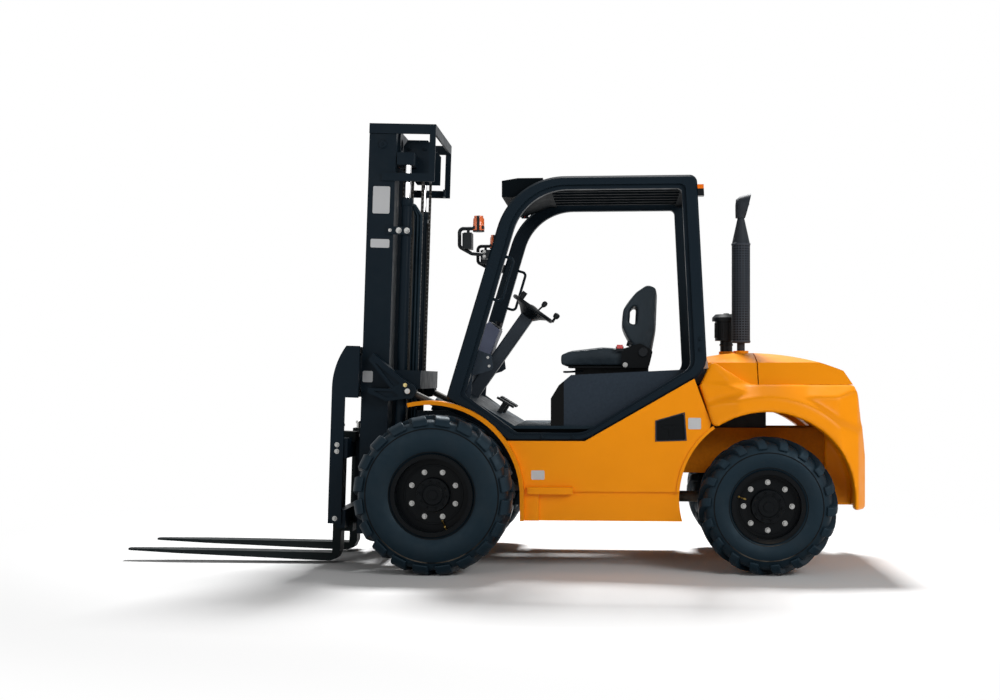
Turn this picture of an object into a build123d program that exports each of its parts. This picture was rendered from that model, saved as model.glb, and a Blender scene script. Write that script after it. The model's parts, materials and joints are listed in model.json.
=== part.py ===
from build123d import *
from math import atan2, cos, degrees, hypot, radians, sin, sqrt
import os

# Rough terrain forklift, four-wheel drive, 3.5 t class, millimetres.
# +X is forward, +Y is left, +Z is up. The origin is on the ground, under the middle of the length.
# Stations are given as distances behind the front axle; heights are above the ground.

# Width of the frame over its side plates, from the middle
FRAME_HALF_WIDTH = 530.0

# Wheels and axles
WHEELBASE = 1920.0
FRONT_TYRE_DIAMETER = 921.0
FRONT_TYRE_WIDTH = 350.0
FRONT_RIM_DIAMETER = 444.0
FRONT_TYRE_TO_FRAME = 20.0
FRONT_TRACK = 2 * (FRAME_HALF_WIDTH + FRONT_TYRE_TO_FRAME) + FRONT_TYRE_WIDTH
FRONT_DISC_OFFSET = 40.0
REAR_TYRE_DIAMETER = 795.0
REAR_TYRE_WIDTH = 264.0
REAR_RIM_DIAMETER = 389.0
REAR_TRACK = 1256.0
REAR_DISC_OFFSET = 45.0
RIM_WALL = 9.0
RIM_FLANGE = 15.0
DISC_THICKNESS = 18.0
HUB_CAP_RADIUS = 100.0
HUB_CAP_DEPTH = 42.0
FIT_GAP = 0.3
FRONT_AXLE_TUBE_RADIUS = 92.0
FRONT_DIFF_RADIUS = 155.0
REAR_AXLE_TUBE_RADIUS = 68.0
REAR_DIFF_RADIUS = 128.0
SHAFT_RADIUS = 34.0
SHAFT_FLANGE_RADIUS = 60.0
SHAFT_FLANGE_THICKNESS = 16.0

# Steering of the rear wheels
KINGPIN_Y = 440.0
KINGPIN_RADIUS = 20.0
KNUCKLE_HALF_HEIGHT = 72.0
YOKE_THICKNESS = 32.0
STEER_ARM = 195.0
STEER_ARM_THICKNESS = 25.0
TIE_ROD_RADIUS = 17.0
TIE_PIN_RADIUS = 13.0

# Mast, built upright and then leaned back about its pivot
MAST_LEAN = 1.85
PIVOT_FORWARD = 190.0
PIVOT_HEIGHT = 380.0
PIVOT_PIN_RADIUS = 24.0
RAIL_FRONT = 511.0
RAIL_DEPTH = 165.0
RAIL_WEB = 16.0
RAIL_FLANGE = 18.0
MAST_HALF_WIDTH = 404.0
OUTER_FLANGE_WIDTH = 88.0
MAST_BOTTOM = 180.0
MAST_TOP = 2670.0
INNER_HALF_WIDTH = 310.0
INNER_FLANGE_WIDTH = 80.0
INNER_BOTTOM = 200.0
INNER_TOP = 2640.0
ROLLER_GAP = 2.5
LIFT_STROKE = 1850.0
LIFT_CYLINDER_Y = 372.0
LIFT_CYLINDER_BEHIND_RAIL = 74.0
LIFT_BARREL_RADIUS = 31.0
LIFT_ROD_RADIUS = 20.0
LIFT_BARREL_WALL = 7.0
LIFT_BARREL_TOP = 2225.0
LIFT_FOOT_TOP = 230.0
CROSSHEAD_BOTTOM = 2425.0
CROSSHEAD_HEIGHT = 75.0
SHEAVE_RADIUS = 62.0
SHEAVE_GROOVE = 50.0
SHEAVE_Y = 180.0
CHAIN_WIDTH = 25.0
CHAIN_THICKNESS = 12.0
CHAIN_ANCHOR_HEIGHT = 1180.0
CARRIAGE_ANCHOR_TOP = 540.0
TOP_BAND_HEIGHT = 60.0
TOP_BAND_REAR = 105.0
BAND_THICKNESS = 12.0
LOWER_BAND_TOP = 2372.0
LOWER_BAND_HEIGHT = 48.0
MID_BAND_TOP = 1180.0
MID_BAND_HEIGHT = 110.0

# Tilt cylinders
TILT_PIN_FORWARD = 188.0
TILT_PIN_HEIGHT = 1055.0
TILT_BASE_BEHIND = 330.0
TILT_BASE_HEIGHT = 800.0
TILT_INSIDE_FRAME = 75.0
TILT_Y = FRAME_HALF_WIDTH - TILT_INSIDE_FRAME
TILT_EYE_WIDTH = 44.0
TILT_EYE_RADIUS = 32.0
TILT_PIN_RADIUS = 15.0
TILT_PIN_PLAY = 3.5
TILT_BARREL_RADIUS = 42.0
TILT_BARREL_BORE = 31.0
TILT_BARREL_START = 45.0
TILT_BARREL_END = 410.0
TILT_GLAND = 30.0
TILT_ROD_RADIUS = 20.0
TILT_PISTON_START = 190.0

# Carriage, load backrest and forks
FORK_FACE = 670.0
FORK_LENGTH = 1290.0
FORK_THICKNESS = 50.0
FORK_WIDTH = 125.0
FORK_SPACING = 574.0
FORK_BOTTOM = 0.0
FORK_TIP_THICKNESS = 12.0
FORK_TIP_WIDTH = 64.0
FORK_HEEL_RADIUS = 62.0
CARRIAGE_BAR_THICKNESS = 52.0
CARRIAGE_HALF_WIDTH = 500.0
UPPER_BAR_BOTTOM = 640.0
UPPER_BAR_TOP = 760.0
LOWER_BAR_BOTTOM = 220.0
LOWER_BAR_TOP = 330.0
CARRIAGE_PLATE_Y = 185.0
CARRIAGE_PLATE_THICKNESS = 35.0
BACKREST_TOP = 1316.0
BACKREST_BOTTOM = 246.0
BACKREST_GRID_BOTTOM = 1005.0
BACKREST_PLATE = 20.0
BACKREST_DEPTH = 80.0
BACKREST_HEAD_DEPTH = 160.0
BACKREST_BAR = 40.0
BACKREST_BAR_COUNT = 5

# Chassis and body
REAR_OVERHANG = 597.0
FRAME_SIDE_PLATE = 25.0
BULKHEAD_FRONT = 132.0
BULKHEAD_THICKNESS = 30.0
RAIL_ABOVE_AXLE = 179.5
RAIL_BOTTOM = FRONT_TYRE_DIAMETER / 2 + RAIL_ABOVE_AXLE
FLOOR_TOP = 850.0
FLOOR_THICKNESS = 18.0
FLOOR_INSIDE_FRAME = 30.0
FLOOR_HALF_WIDTH = FRAME_HALF_WIDTH - FLOOR_INSIDE_FRAME
TOE_FRONT = 60.0
TOE_TOP = 1085.0
TOE_BEND = 448.0
MAIN_RAIL_INSIDE_FRAME = 180.0
MAIN_RAIL_Y = FRAME_HALF_WIDTH - MAIN_RAIL_INSIDE_FRAME
MAIN_RAIL_THICKNESS = 50.0
MAIN_RAIL_END = 1350.0
NECK_RAIL_Y = 205.0
NECK_RAIL_THICKNESS = 40.0
NECK_BOTTOM = 560.0
TANK_THICKNESS = 90.0
TANK_HALF_WIDTH = FRAME_HALF_WIDTH + TANK_THICKNESS
TANK_BOTTOM = 297.0
SILL_BOTTOM = 764.0
SILL_REAR = 870.0
DIAGONAL_SLOPE = 0.575
FENDER_TYRE_GAP = 99.5
FENDER_RADIUS = FRONT_TYRE_DIAMETER / 2 + FENDER_TYRE_GAP
FENDER_THICKNESS = 12.0
FENDER_FORWARD = 45.0
FENDER_BELOW_AXLE = 20.5
FENDER_HEIGHT = FRONT_TYRE_DIAMETER / 2 - FENDER_BELOW_AXLE
FENDER_WIDTH = 125.0
FENDER_HALF_WIDTH = FRAME_HALF_WIDTH + FENDER_WIDTH
FENDER_TIP_FORWARD = 175.0
REAR_ARCH_RADIUS = 502.0
REAR_ARCH_HEIGHT = 435.0
REAR_POCKET_RADIUS = 535.0
SEAM_LOW_BEHIND = 1601.0
SEAM_LOW_HEIGHT = 872.0
SEAM_SLOPE = 80.0 / 262.0
SEAM_GAP = 3.0
BAY_HALF_WIDTH = 255.0
BAY_REAR = 2300.0
DECK_HEIGHT = 1095.0
WEIGHT_HALF_WIDTH = 700.0
WEIGHT_BOTTOM = 371.0
HOOD_FRONT = 1592.0
HOOD_REAR = 2423.0
HOOD_SPLIT = 1880.0
HOOD_SPLIT_GAP = 6.0
HOOD_HALF_WIDTH = 560.0
HOOD_SHEET = 10.0
ENGINE_FRONT = 1360.0
ENGINE_REAR = 1960.0
ENGINE_HALF_WIDTH = 195.0
ENGINE_BOTTOM = 620.0
ENGINE_TOP = 1130.0
ENGINE_CLEARANCE = 25.0

# Overhead guard
GUARD_OUTSIDE_FRAME = 5.0
GUARD_INNER_Y = FRAME_HALF_WIDTH + GUARD_OUTSIDE_FRAME
GUARD_TUBE_WIDTH = 75.0
GUARD_TOP = 2319.0
GUARD_BEAM = 76.0
GUARD_SILL = 47.0

# Operator place
COLUMN_ANGLE = 35.3
WHEEL_CENTRE_BEHIND = 530.0
WHEEL_CENTRE_HEIGHT = 1570.0
WHEEL_RADIUS = 150.0
WHEEL_RIM_RADIUS = 13.0
SEAT_HALF_WIDTH = 240.0
SEAT_BOX_INSIDE_FLOOR = 20.0
SEAT_BOX_HALF_WIDTH = FLOOR_HALF_WIDTH - SEAT_BOX_INSIDE_FLOOR
SHEET = 12.0

# Exhaust and air intake
EXHAUST_BEHIND = 1813.0
EXHAUST_Y = 150.0
MUFFLER_RADIUS = 54.0
INTAKE_BEHIND = 1740.0
INTAKE_Y = -60.0
STACK_SEAT = 1300.0

LEAN = radians(MAST_LEAN)
FORK_REACH = (
    PIVOT_FORWARD
    + (FORK_FACE + FORK_LENGTH - PIVOT_FORWARD) * cos(LEAN)
    + (PIVOT_HEIGHT - FORK_BOTTOM - FORK_TIP_THICKNESS) * sin(LEAN)
)
FRONT_AXLE_X = (WHEELBASE + REAR_OVERHANG - FORK_REACH) / 2
REAR_AXLE_X = FRONT_AXLE_X - WHEELBASE
FRONT_AXLE_Z = FRONT_TYRE_DIAMETER / 2
REAR_AXLE_Z = REAR_TYRE_DIAMETER / 2
SIDES = (("left", 1), ("right", -1))

os.makedirs("parts", exist_ok=True)


def station(behind):
    """X of a place that lies this far behind the front axle."""
    return FRONT_AXLE_X - behind


def ahead(forward):
    """X of a place that lies this far ahead of the front axle."""
    return FRONT_AXLE_X + forward


def side_plane(y):
    """Plane of side outlines at one Y; an extrusion from it runs towards -Y."""
    return Plane.XZ.offset(-y)


def outline(points):
    """Side outline from (behind, height) pairs, as (X, Z) pairs."""
    return [(station(behind), height) for behind, height in points]


def keep(part, name):
    part.label = name
    export_step(part, f"parts/{name}.step")


def leaned(part):
    """A mast piece, leaned back about the mast pivot."""
    return part.rotate(Axis((ahead(PIVOT_FORWARD), 0, PIVOT_HEIGHT), (0, 1, 0)), -MAST_LEAN)


def slab(x_range, y_range, z_range, mode=Mode.ADD):
    """Rectangular bar or plate between two limits each way."""
    size = [high - low for low, high in (x_range, y_range, z_range)]
    middle = [(low + high) / 2 for low, high in (x_range, y_range, z_range)]
    with Locations(tuple(middle)):
        Box(*size, mode=mode)


def bar_along_y(x, z, radius, y_low, y_high, mode=Mode.ADD):
    """Round bar or bore across the machine."""
    with BuildSketch(side_plane(y_high)) as round_face:
        with Locations((x, z)):
            Circle(radius)
    extrude(round_face.sketch, amount=y_high - y_low, mode=mode)


def post(x, y, radius, z_low, z_high, mode=Mode.ADD):
    """Upright round bar or bore."""
    with BuildSketch(Plane.XY.offset(z_low)) as round_face:
        with Locations((x, y)):
            Circle(radius)
    extrude(round_face.sketch, amount=z_high - z_low, mode=mode)


# Front axle: tube, round gear housing with a nose, spring-less pads under the frame rails
FRONT_DISC_INNER = FRONT_TRACK / 2 + FRONT_DISC_OFFSET
AXLE_PAD_LENGTH = 160.0
AXLE_PAD_OVERLAP = 5.0
HUB_RADIUS = 88.0
HUB_START = 470.0
FRONT_NOSE_END = 260.0
with BuildPart() as front_axle:
    bar_along_y(FRONT_AXLE_X, FRONT_AXLE_Z, FRONT_AXLE_TUBE_RADIUS, -HUB_START, HUB_START)
    bar_along_y(FRONT_AXLE_X, FRONT_AXLE_Z, HUB_RADIUS, -FRONT_DISC_INNER, FRONT_DISC_INNER)
    with Locations((FRONT_AXLE_X, 0, FRONT_AXLE_Z)):
        Sphere(FRONT_DIFF_RADIUS)
    with BuildSketch(Plane((station(FRONT_NOSE_END), 0, FRONT_AXLE_Z), z_dir=(1, 0, 0))):
        Circle(SHAFT_FLANGE_RADIUS)
    extrude(amount=FRONT_NOSE_END)
    for side in (1, -1):
        pad_middle = side * (MAIN_RAIL_Y + MAIN_RAIL_THICKNESS / 2)
        pad_half = MAIN_RAIL_THICKNESS / 2 + AXLE_PAD_OVERLAP
        slab(
            (FRONT_AXLE_X - AXLE_PAD_LENGTH / 2, FRONT_AXLE_X + AXLE_PAD_LENGTH / 2),
            (pad_middle - pad_half, pad_middle + pad_half),
            (FRONT_AXLE_Z, RAIL_BOTTOM),
        )
keep(front_axle.part, "front_axle")

# Rear axle: tube, gear housing, forked ends round the kingpins, block under the neck of the frame
REAR_DISC_INNER = REAR_TRACK / 2 + REAR_DISC_OFFSET
YOKE_RADIUS = 46.0
YOKE_WEB_Y = 372.0
YOKE_WEB_HALF = 36.0
YOKE_WEB_THICKNESS = 26.0
REAR_NOSE_START = 200.0
REAR_BLOCK_LENGTH = 200.0
yoke_low = KNUCKLE_HALF_HEIGHT + FIT_GAP
yoke_high = yoke_low + YOKE_THICKNESS
with BuildPart() as rear_axle:
    tube_end = YOKE_WEB_Y - YOKE_WEB_THICKNESS
    bar_along_y(REAR_AXLE_X, REAR_AXLE_Z, REAR_AXLE_TUBE_RADIUS, -tube_end, tube_end)
    with Locations((REAR_AXLE_X, 0, REAR_AXLE_Z)):
        Sphere(REAR_DIFF_RADIUS)
    with BuildSketch(Plane((REAR_AXLE_X, 0, REAR_AXLE_Z), z_dir=(1, 0, 0))):
        Circle(SHAFT_FLANGE_RADIUS)
    extrude(amount=REAR_NOSE_START)
    neck_outer = NECK_RAIL_Y + NECK_RAIL_THICKNESS
    slab(
        (REAR_AXLE_X - REAR_BLOCK_LENGTH / 2, REAR_AXLE_X + REAR_BLOCK_LENGTH / 2),
        (-neck_outer, neck_outer),
        (REAR_AXLE_Z + REAR_AXLE_TUBE_RADIUS / 2, NECK_BOTTOM),
    )
    for side in (1, -1):
        web = sorted((side * (YOKE_WEB_Y - YOKE_WEB_THICKNESS), side * YOKE_WEB_Y))
        slab(
            (REAR_AXLE_X - YOKE_WEB_HALF, REAR_AXLE_X + YOKE_WEB_HALF),
            web,
            (REAR_AXLE_Z - yoke_high, REAR_AXLE_Z + yoke_high),
        )
        for low, high in ((yoke_low, yoke_high), (-yoke_high, -yoke_low)):
            with BuildSketch(Plane.XY.offset(REAR_AXLE_Z + low)):
                with Locations((REAR_AXLE_X, side * KINGPIN_Y)):
                    Circle(YOKE_RADIUS)
                arm_middle = (KINGPIN_Y + YOKE_WEB_Y - YOKE_WEB_THICKNESS) / 2
                with Locations((REAR_AXLE_X, side * arm_middle)):
                    Rectangle(2 * YOKE_WEB_HALF, KINGPIN_Y - YOKE_WEB_Y + YOKE_WEB_THICKNESS)
                with Locations((REAR_AXLE_X, side * KINGPIN_Y)):
                    Circle(KINGPIN_RADIUS + FIT_GAP, mode=Mode.SUBTRACT)
            extrude(amount=high - low)
keep(rear_axle.part, "rear_axle")

# Steering knuckles: kingpin, spindle for the wheel, arm to the rear with the tie rod's pin
SPINDLE_RADIUS = 58.0
KNUCKLE_RADIUS = 44.0
STEER_ARM_WIDTH = 44.0
ARM_TOP_BELOW_AXLE = 5.0
TIE_PIN_LENGTH = 34.0
arm_top = REAR_AXLE_Z - ARM_TOP_BELOW_AXLE
arm_bottom = arm_top - STEER_ARM_THICKNESS
pin_x = REAR_AXLE_X - STEER_ARM
for name, side in SIDES:
    with BuildPart() as knuckle:
        kingpin_y = side * KINGPIN_Y
        post(REAR_AXLE_X, kingpin_y, KNUCKLE_RADIUS, REAR_AXLE_Z - KNUCKLE_HALF_HEIGHT,
             REAR_AXLE_Z + KNUCKLE_HALF_HEIGHT)
        post(REAR_AXLE_X, kingpin_y, KINGPIN_RADIUS, REAR_AXLE_Z - yoke_high, REAR_AXLE_Z + yoke_high)
        spindle = sorted((kingpin_y, side * REAR_DISC_INNER))
        bar_along_y(REAR_AXLE_X, REAR_AXLE_Z, SPINDLE_RADIUS, *spindle)
        with BuildSketch(Plane.XY.offset(arm_bottom)):
            with Locations(((REAR_AXLE_X + pin_x) / 2, kingpin_y)):
                SlotCenterToCenter(STEER_ARM, STEER_ARM_WIDTH)
        extrude(amount=STEER_ARM_THICKNESS)
        post(pin_x, kingpin_y, TIE_PIN_RADIUS, arm_bottom - TIE_PIN_LENGTH, arm_bottom)
    keep(knuckle.part, f"knuckle_{name}")

# Tie rod between the two steering arms, with an eye round each pin
TIE_EYE_RADIUS = 27.0
TIE_EYE_HEIGHT = 30.0
tie_eye_top = arm_bottom - 2 * FIT_GAP
with BuildPart() as tie_rod:
    tie_z = tie_eye_top - TIE_EYE_HEIGHT / 2
    bar_along_y(pin_x, tie_z, TIE_ROD_RADIUS - 3, -KINGPIN_Y, KINGPIN_Y)
    for side in (1, -1):
        post(pin_x, side * KINGPIN_Y, TIE_EYE_RADIUS, tie_eye_top - TIE_EYE_HEIGHT, tie_eye_top)
    for side in (1, -1):
        post(pin_x, side * KINGPIN_Y, TIE_PIN_RADIUS + FIT_GAP, tie_eye_top - TIE_EYE_HEIGHT, tie_eye_top,
             mode=Mode.SUBTRACT)
keep(tie_rod.part, "tie_rod")

# Tyres and rims: one row for each axle. Tyres are many-sided drums with two rows of raked lugs
TYRE_SIDE_TUCK = 18.0
FRONT_LUG_COUNT = 20
REAR_LUG_COUNT = 18
FACETS_PER_LUG = 2
# end, axle X, axle Z, track, tyre diameter, tyre width, rim diameter, disc offset from the wheel's middle
WHEEL_TABLE = (
    ("front", FRONT_AXLE_X, FRONT_AXLE_Z, FRONT_TRACK, FRONT_TYRE_DIAMETER, FRONT_TYRE_WIDTH,
     FRONT_RIM_DIAMETER, FRONT_DISC_OFFSET),
    ("rear", REAR_AXLE_X, REAR_AXLE_Z, REAR_TRACK, REAR_TYRE_DIAMETER, REAR_TYRE_WIDTH,
     REAR_RIM_DIAMETER, REAR_DISC_OFFSET),
)
# end: lugs in a row, lug depth, flat tread half width, depth of the lug's foot,
# half thickness at the foot and at the top, inner end, outer end at the top, rake to each side
LUG_TABLE = {
    "front": (FRONT_LUG_COUNT, 28.0, 140.0, 58.5, 48.0, 40.0, 10.0, 143.0, 18.0),
    "rear": (REAR_LUG_COUNT, 26.0, 92.0, 59.5, 25.0, 16.0, 5.0, 108.0, 42.0),
}


def flat_sided(rings):
    """Solid with flat faces between rings of corners, closed at both ends."""
    size = len(rings[0])
    faces = [rings[0], rings[-1]]
    for low, high in zip(rings, rings[1:]):
        faces += [[low[place], low[place - 1], high[place - 1], high[place]] for place in range(size)]
    return Solid(Shell([Face(Wire.make_polygon(corners, close=True)) for corners in faces]))


def drum_ring(middle, offset, radius, sides):
    """Corners of a many-sided ring square to a wheel's axis."""
    turns = [radians(360 * place / sides) for place in range(sides)]
    return [(middle[0] + radius * cos(turn), middle[1] + offset, middle[2] + radius * sin(turn)) for turn in turns]


def lug_ring(middle, way, height, half_thickness, ends, rakes):
    """Corners of a level section of one lug above the wheel's middle: inner end, then outer end."""
    corners = [(rakes[0] - half_thickness, ends[0]), (rakes[0] + half_thickness, ends[0]),
               (rakes[1] + half_thickness, ends[1]), (rakes[1] - half_thickness, ends[1])]
    return [(middle[0] + x, middle[1] + way * y, middle[2] + height) for x, y in corners]


for end, axle_x, axle_z, track, tyre_diameter, tyre_width, rim_diameter, disc_offset in WHEEL_TABLE:
    tyre_radius = tyre_diameter / 2
    bead_radius = rim_diameter / 2
    half = tyre_width / 2
    toe = half - TYRE_SIDE_TUCK
    lip = bead_radius + RIM_FLANGE + 1
    count, depth, tread_half, foot_depth, foot_half, top_half, inner_end, outer_end, rake = LUG_TABLE[end]
    widest = (bead_radius + tyre_radius) / 2
    foot = tyre_radius - foot_depth
    sides = count * FACETS_PER_LUG
    base = tyre_radius - depth
    lug_top = sqrt(tyre_radius**2 - (top_half + rake) ** 2)
    first_lug = -degrees(atan2(top_half + rake, lug_top))
    middle = (axle_x, track / 2, axle_z)
    axis = Axis(middle, (0, 1, 0))
    top_rake = rake - 2 * rake * (outer_end - inner_end) / (half - inner_end)
    lugs = []
    for way, phase in ((1, 0.0), (-1, 0.5)):
        lug = flat_sided([lug_ring(middle, way, foot, foot_half, (inner_end, half), (rake, -rake)),
                          lug_ring(middle, way, lug_top, top_half, (inner_end, outer_end), (rake, top_rake))])
        lugs += [lug.rotate(axis, first_lug + (turn + phase) * 360 / count) for turn in range(count)]
    with BuildPart() as tyre:
        add(flat_sided([drum_ring(middle, offset, radius, sides) for offset, radius in (
            (-half, widest), (-tread_half, base), (tread_half, base), (half, widest))]))
        add(lugs)
        for way in (1, -1):
            add(flat_sided([drum_ring(middle, way * half, widest, sides), drum_ring(middle, way * toe, lip, sides)]),
                mode=Mode.SUBTRACT)
        bore = bead_radius / cos(radians(180 / sides))
        add(flat_sided([drum_ring(middle, offset, bore, sides) for offset in (-half, half)]), mode=Mode.SUBTRACT)
    keep(tyre.part, f"{end}_tyre_left")
    keep(mirror(tyre.part, about=Plane.XZ), f"{end}_tyre_right")
    for name, side in SIDES:
        # Section plane through the wheel's axis: first axis is up, second is outwards
        middle = (axle_x, side * track / 2, axle_z)
        section = Plane(middle, x_dir=(0, 0, 1), z_dir=(-side, 0, 0))
        axis = Axis(middle, (0, 1, 0))
        with BuildPart() as rim:
            outer = bead_radius - FIT_GAP
            edge = toe + FIT_GAP
            brim = bead_radius + RIM_FLANGE
            well = outer - RIM_WALL
            disc_face = disc_offset + DISC_THICKNESS
            with BuildSketch(section):
                with BuildLine():
                    Polyline(
                        (well, -edge - RIM_WALL), (brim, -edge - RIM_WALL), (brim, -edge), (outer, -edge),
                        (outer, edge), (brim, edge), (brim, edge + RIM_WALL), (well, edge + RIM_WALL),
                        (well, disc_face), (HUB_CAP_RADIUS, disc_face),
                        (HUB_CAP_RADIUS - 6, disc_face + HUB_CAP_DEPTH), (0, disc_face + HUB_CAP_DEPTH),
                        (0, disc_offset), (well, disc_offset), close=True,
                    )
                make_face()
            revolve(axis=axis)
        keep(rim.part, f"{end}_rim_{name}")

# Drive shafts: front nose to gearbox and gearbox to rear nose, on one line each
GEARBOX_FRONT = 900.0
GEARBOX_REAR = 1250.0
GEARBOX_HALF_WIDTH = 175.0
GEARBOX_BOTTOM = 330.0
GEARBOX_TOP = 720.0
with BuildPart() as gearbox:
    slab((station(GEARBOX_REAR), station(GEARBOX_FRONT)), (-GEARBOX_HALF_WIDTH, GEARBOX_HALF_WIDTH),
         (GEARBOX_BOTTOM, GEARBOX_TOP))
    chamfer(gearbox.edges().filter_by(Axis.X), 60)
keep(gearbox.part, "gearbox")

# start behind, end behind, height of the shaft
SHAFT_TABLE = (
    (FRONT_NOSE_END, GEARBOX_FRONT, FRONT_AXLE_Z),
    (GEARBOX_REAR, WHEELBASE - REAR_NOSE_START, REAR_AXLE_Z),
)
with BuildPart() as drive_shafts:
    for start, end, height in SHAFT_TABLE:
        with BuildSketch(Plane((station(end), 0, height), z_dir=(1, 0, 0))):
            Circle(SHAFT_RADIUS)
        extrude(amount=end - start)
        for flange in (start, end - SHAFT_FLANGE_THICKNESS):
            with BuildSketch(Plane((station(flange + SHAFT_FLANGE_THICKNESS), 0, height), z_dir=(1, 0, 0))):
                Circle(SHAFT_FLANGE_RADIUS)
            extrude(amount=SHAFT_FLANGE_THICKNESS)
keep(drive_shafts.part, "drive_shafts")

# Frame: bulkhead for the mast, side plates, main rails, neck rails under the hood, cross members
BULKHEAD_BOTTOM = 300.0
BULKHEAD_TOP = 840.0
SIDE_PLATE_TOP = 940.0
BULKHEAD_WINDOW = 225.0
PIVOT_LUG_RADIUS = 48.0
PIVOT_LUG_THICKNESS = 22.0
MAST_LUG_Y = 285.0
MAST_LUG_THICKNESS = 40.0
LUG_GAP = 3.0
CROSS_LENGTH = 100.0
FRONT_CROSS = 560.0
ENGINE_CROSS_STATIONS = (1480.0, 1840.0)
CROSS_BAR = 60.0
TILT_LUG_RADIUS = 38.0
tilt_base = (station(TILT_BASE_BEHIND), TILT_BASE_HEIGHT)
pivot = (ahead(PIVOT_FORWARD), PIVOT_HEIGHT)
rail_top = FLOOR_TOP - FLOOR_THICKNESS
main_rail_outer = MAIN_RAIL_Y + MAIN_RAIL_THICKNESS
side_plate_inner = FRAME_HALF_WIDTH - FRAME_SIDE_PLATE
with BuildPart() as frame:
    slab((ahead(BULKHEAD_FRONT - BULKHEAD_THICKNESS), ahead(BULKHEAD_FRONT)),
         (-FRAME_HALF_WIDTH, FRAME_HALF_WIDTH), (BULKHEAD_BOTTOM, BULKHEAD_TOP))
    slab((ahead(BULKHEAD_FRONT - BULKHEAD_THICKNESS), ahead(BULKHEAD_FRONT)),
         (-BULKHEAD_WINDOW, BULKHEAD_WINDOW), (BULKHEAD_BOTTOM, RAIL_BOTTOM), mode=Mode.SUBTRACT)
    slab((station(MAIN_RAIL_END), station(MAIN_RAIL_END - CROSS_LENGTH)),
         (-FRAME_HALF_WIDTH, FRAME_HALF_WIDTH), (RAIL_BOTTOM, rail_top))
    slab((station(FRONT_CROSS + CROSS_BAR), station(FRONT_CROSS)),
         (-FRAME_HALF_WIDTH, FRAME_HALF_WIDTH), (RAIL_BOTTOM, SILL_BOTTOM))
    for cross in ENGINE_CROSS_STATIONS:
        slab((station(cross + CROSS_BAR), station(cross)), (-NECK_RAIL_Y, NECK_RAIL_Y),
             (NECK_BOTTOM, ENGINE_BOTTOM))
    for side in (1, -1):
        with BuildSketch(side_plane(FRAME_HALF_WIDTH if side > 0 else -side_plate_inner)):
            with BuildLine():
                Polyline(outline((
                    (-BULKHEAD_FRONT, RAIL_BOTTOM), (-BULKHEAD_FRONT, SIDE_PLATE_TOP), (50.0, SIDE_PLATE_TOP),
                    (TOE_BEND, SILL_BOTTOM), (FRONT_CROSS + CROSS_BAR, SILL_BOTTOM),
                    (FRONT_CROSS + CROSS_BAR, RAIL_BOTTOM),
                )), close=True)
            make_face()
        extrude(amount=FRAME_SIDE_PLATE)
        slab((station(MAIN_RAIL_END), ahead(BULKHEAD_FRONT - BULKHEAD_THICKNESS)),
             sorted((side * MAIN_RAIL_Y, side * main_rail_outer)), (RAIL_BOTTOM, rail_top))
        slab((station(BAY_REAR), station(MAIN_RAIL_END - CROSS_LENGTH)),
             sorted((side * NECK_RAIL_Y, side * (NECK_RAIL_Y + NECK_RAIL_THICKNESS))),
             (NECK_BOTTOM, rail_top))
        # Clevis and pin of the tilt cylinder, between the rail and the side plate
        eye_half = TILT_EYE_WIDTH / 2 + LUG_GAP
        for low, high in ((main_rail_outer, TILT_Y - eye_half), (TILT_Y + eye_half, side_plate_inner)):
            bar_along_y(*tilt_base, TILT_LUG_RADIUS, *sorted((side * low, side * high)))
            slab((tilt_base[0] - TILT_LUG_RADIUS, tilt_base[0] + TILT_LUG_RADIUS),
                 sorted((side * low, side * high)), (RAIL_BOTTOM, tilt_base[1]))
        bar_along_y(*tilt_base, TILT_PIN_RADIUS, *sorted((side * main_rail_outer, side * side_plate_inner)))
        # Clevis and pin of the mast pivot, on the bulkhead
        lug_inner = MAST_LUG_Y - LUG_GAP
        lug_outer = MAST_LUG_Y + MAST_LUG_THICKNESS + LUG_GAP
        for low, high in ((lug_inner - PIVOT_LUG_THICKNESS, lug_inner),
                          (lug_outer, lug_outer + PIVOT_LUG_THICKNESS)):
            bar_along_y(*pivot, PIVOT_LUG_RADIUS, *sorted((side * low, side * high)))
            slab((ahead(BULKHEAD_FRONT), pivot[0]), sorted((side * low, side * high)),
                 (pivot[1] - PIVOT_LUG_RADIUS, pivot[1] + PIVOT_LUG_RADIUS))
        bar_along_y(*pivot, PIVOT_PIN_RADIUS,
                    *sorted((side * (lug_inner - PIVOT_LUG_THICKNESS), side * (lug_outer + PIVOT_LUG_THICKNESS))))
keep(frame.part, "frame")

# Engine: one plain block on its cross members
with BuildPart() as engine:
    slab((station(ENGINE_REAR), station(ENGINE_FRONT)), (-ENGINE_HALF_WIDTH, ENGINE_HALF_WIDTH),
         (ENGINE_BOTTOM, ENGINE_TOP))
    chamfer(engine.edges().filter_by(Axis.X).group_by(Axis.Z)[-1], 70)
keep(engine.part, "engine_block")

# Side tanks: solid panels that carry the guard, cut by both wheel arches, with a step ledge
STEP_FRONT = 535.0
STEP_REAR = 800.0
STEP_TOP = 495.0
STEP_THICKNESS = 40.0
STEP_PROUD = 30.0
SKIRT_TOP = 470.0
SKIRT_DEPTH = 18.0
SKIRT_FRONT = 600.0
ARCH_LIP_WIDTH = 18.0
ARCH_LIP_PROUD = 9.0
LATCH_DEPTH = 16.0
LATCH_PANEL = 8.0
LATCH_OUTLINE = ((1284.0, 883.0), (1446.0, 930.0), (1457.0, 773.0), (1284.0, 767.0))
LATCH_CORNER = 14.0
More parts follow.
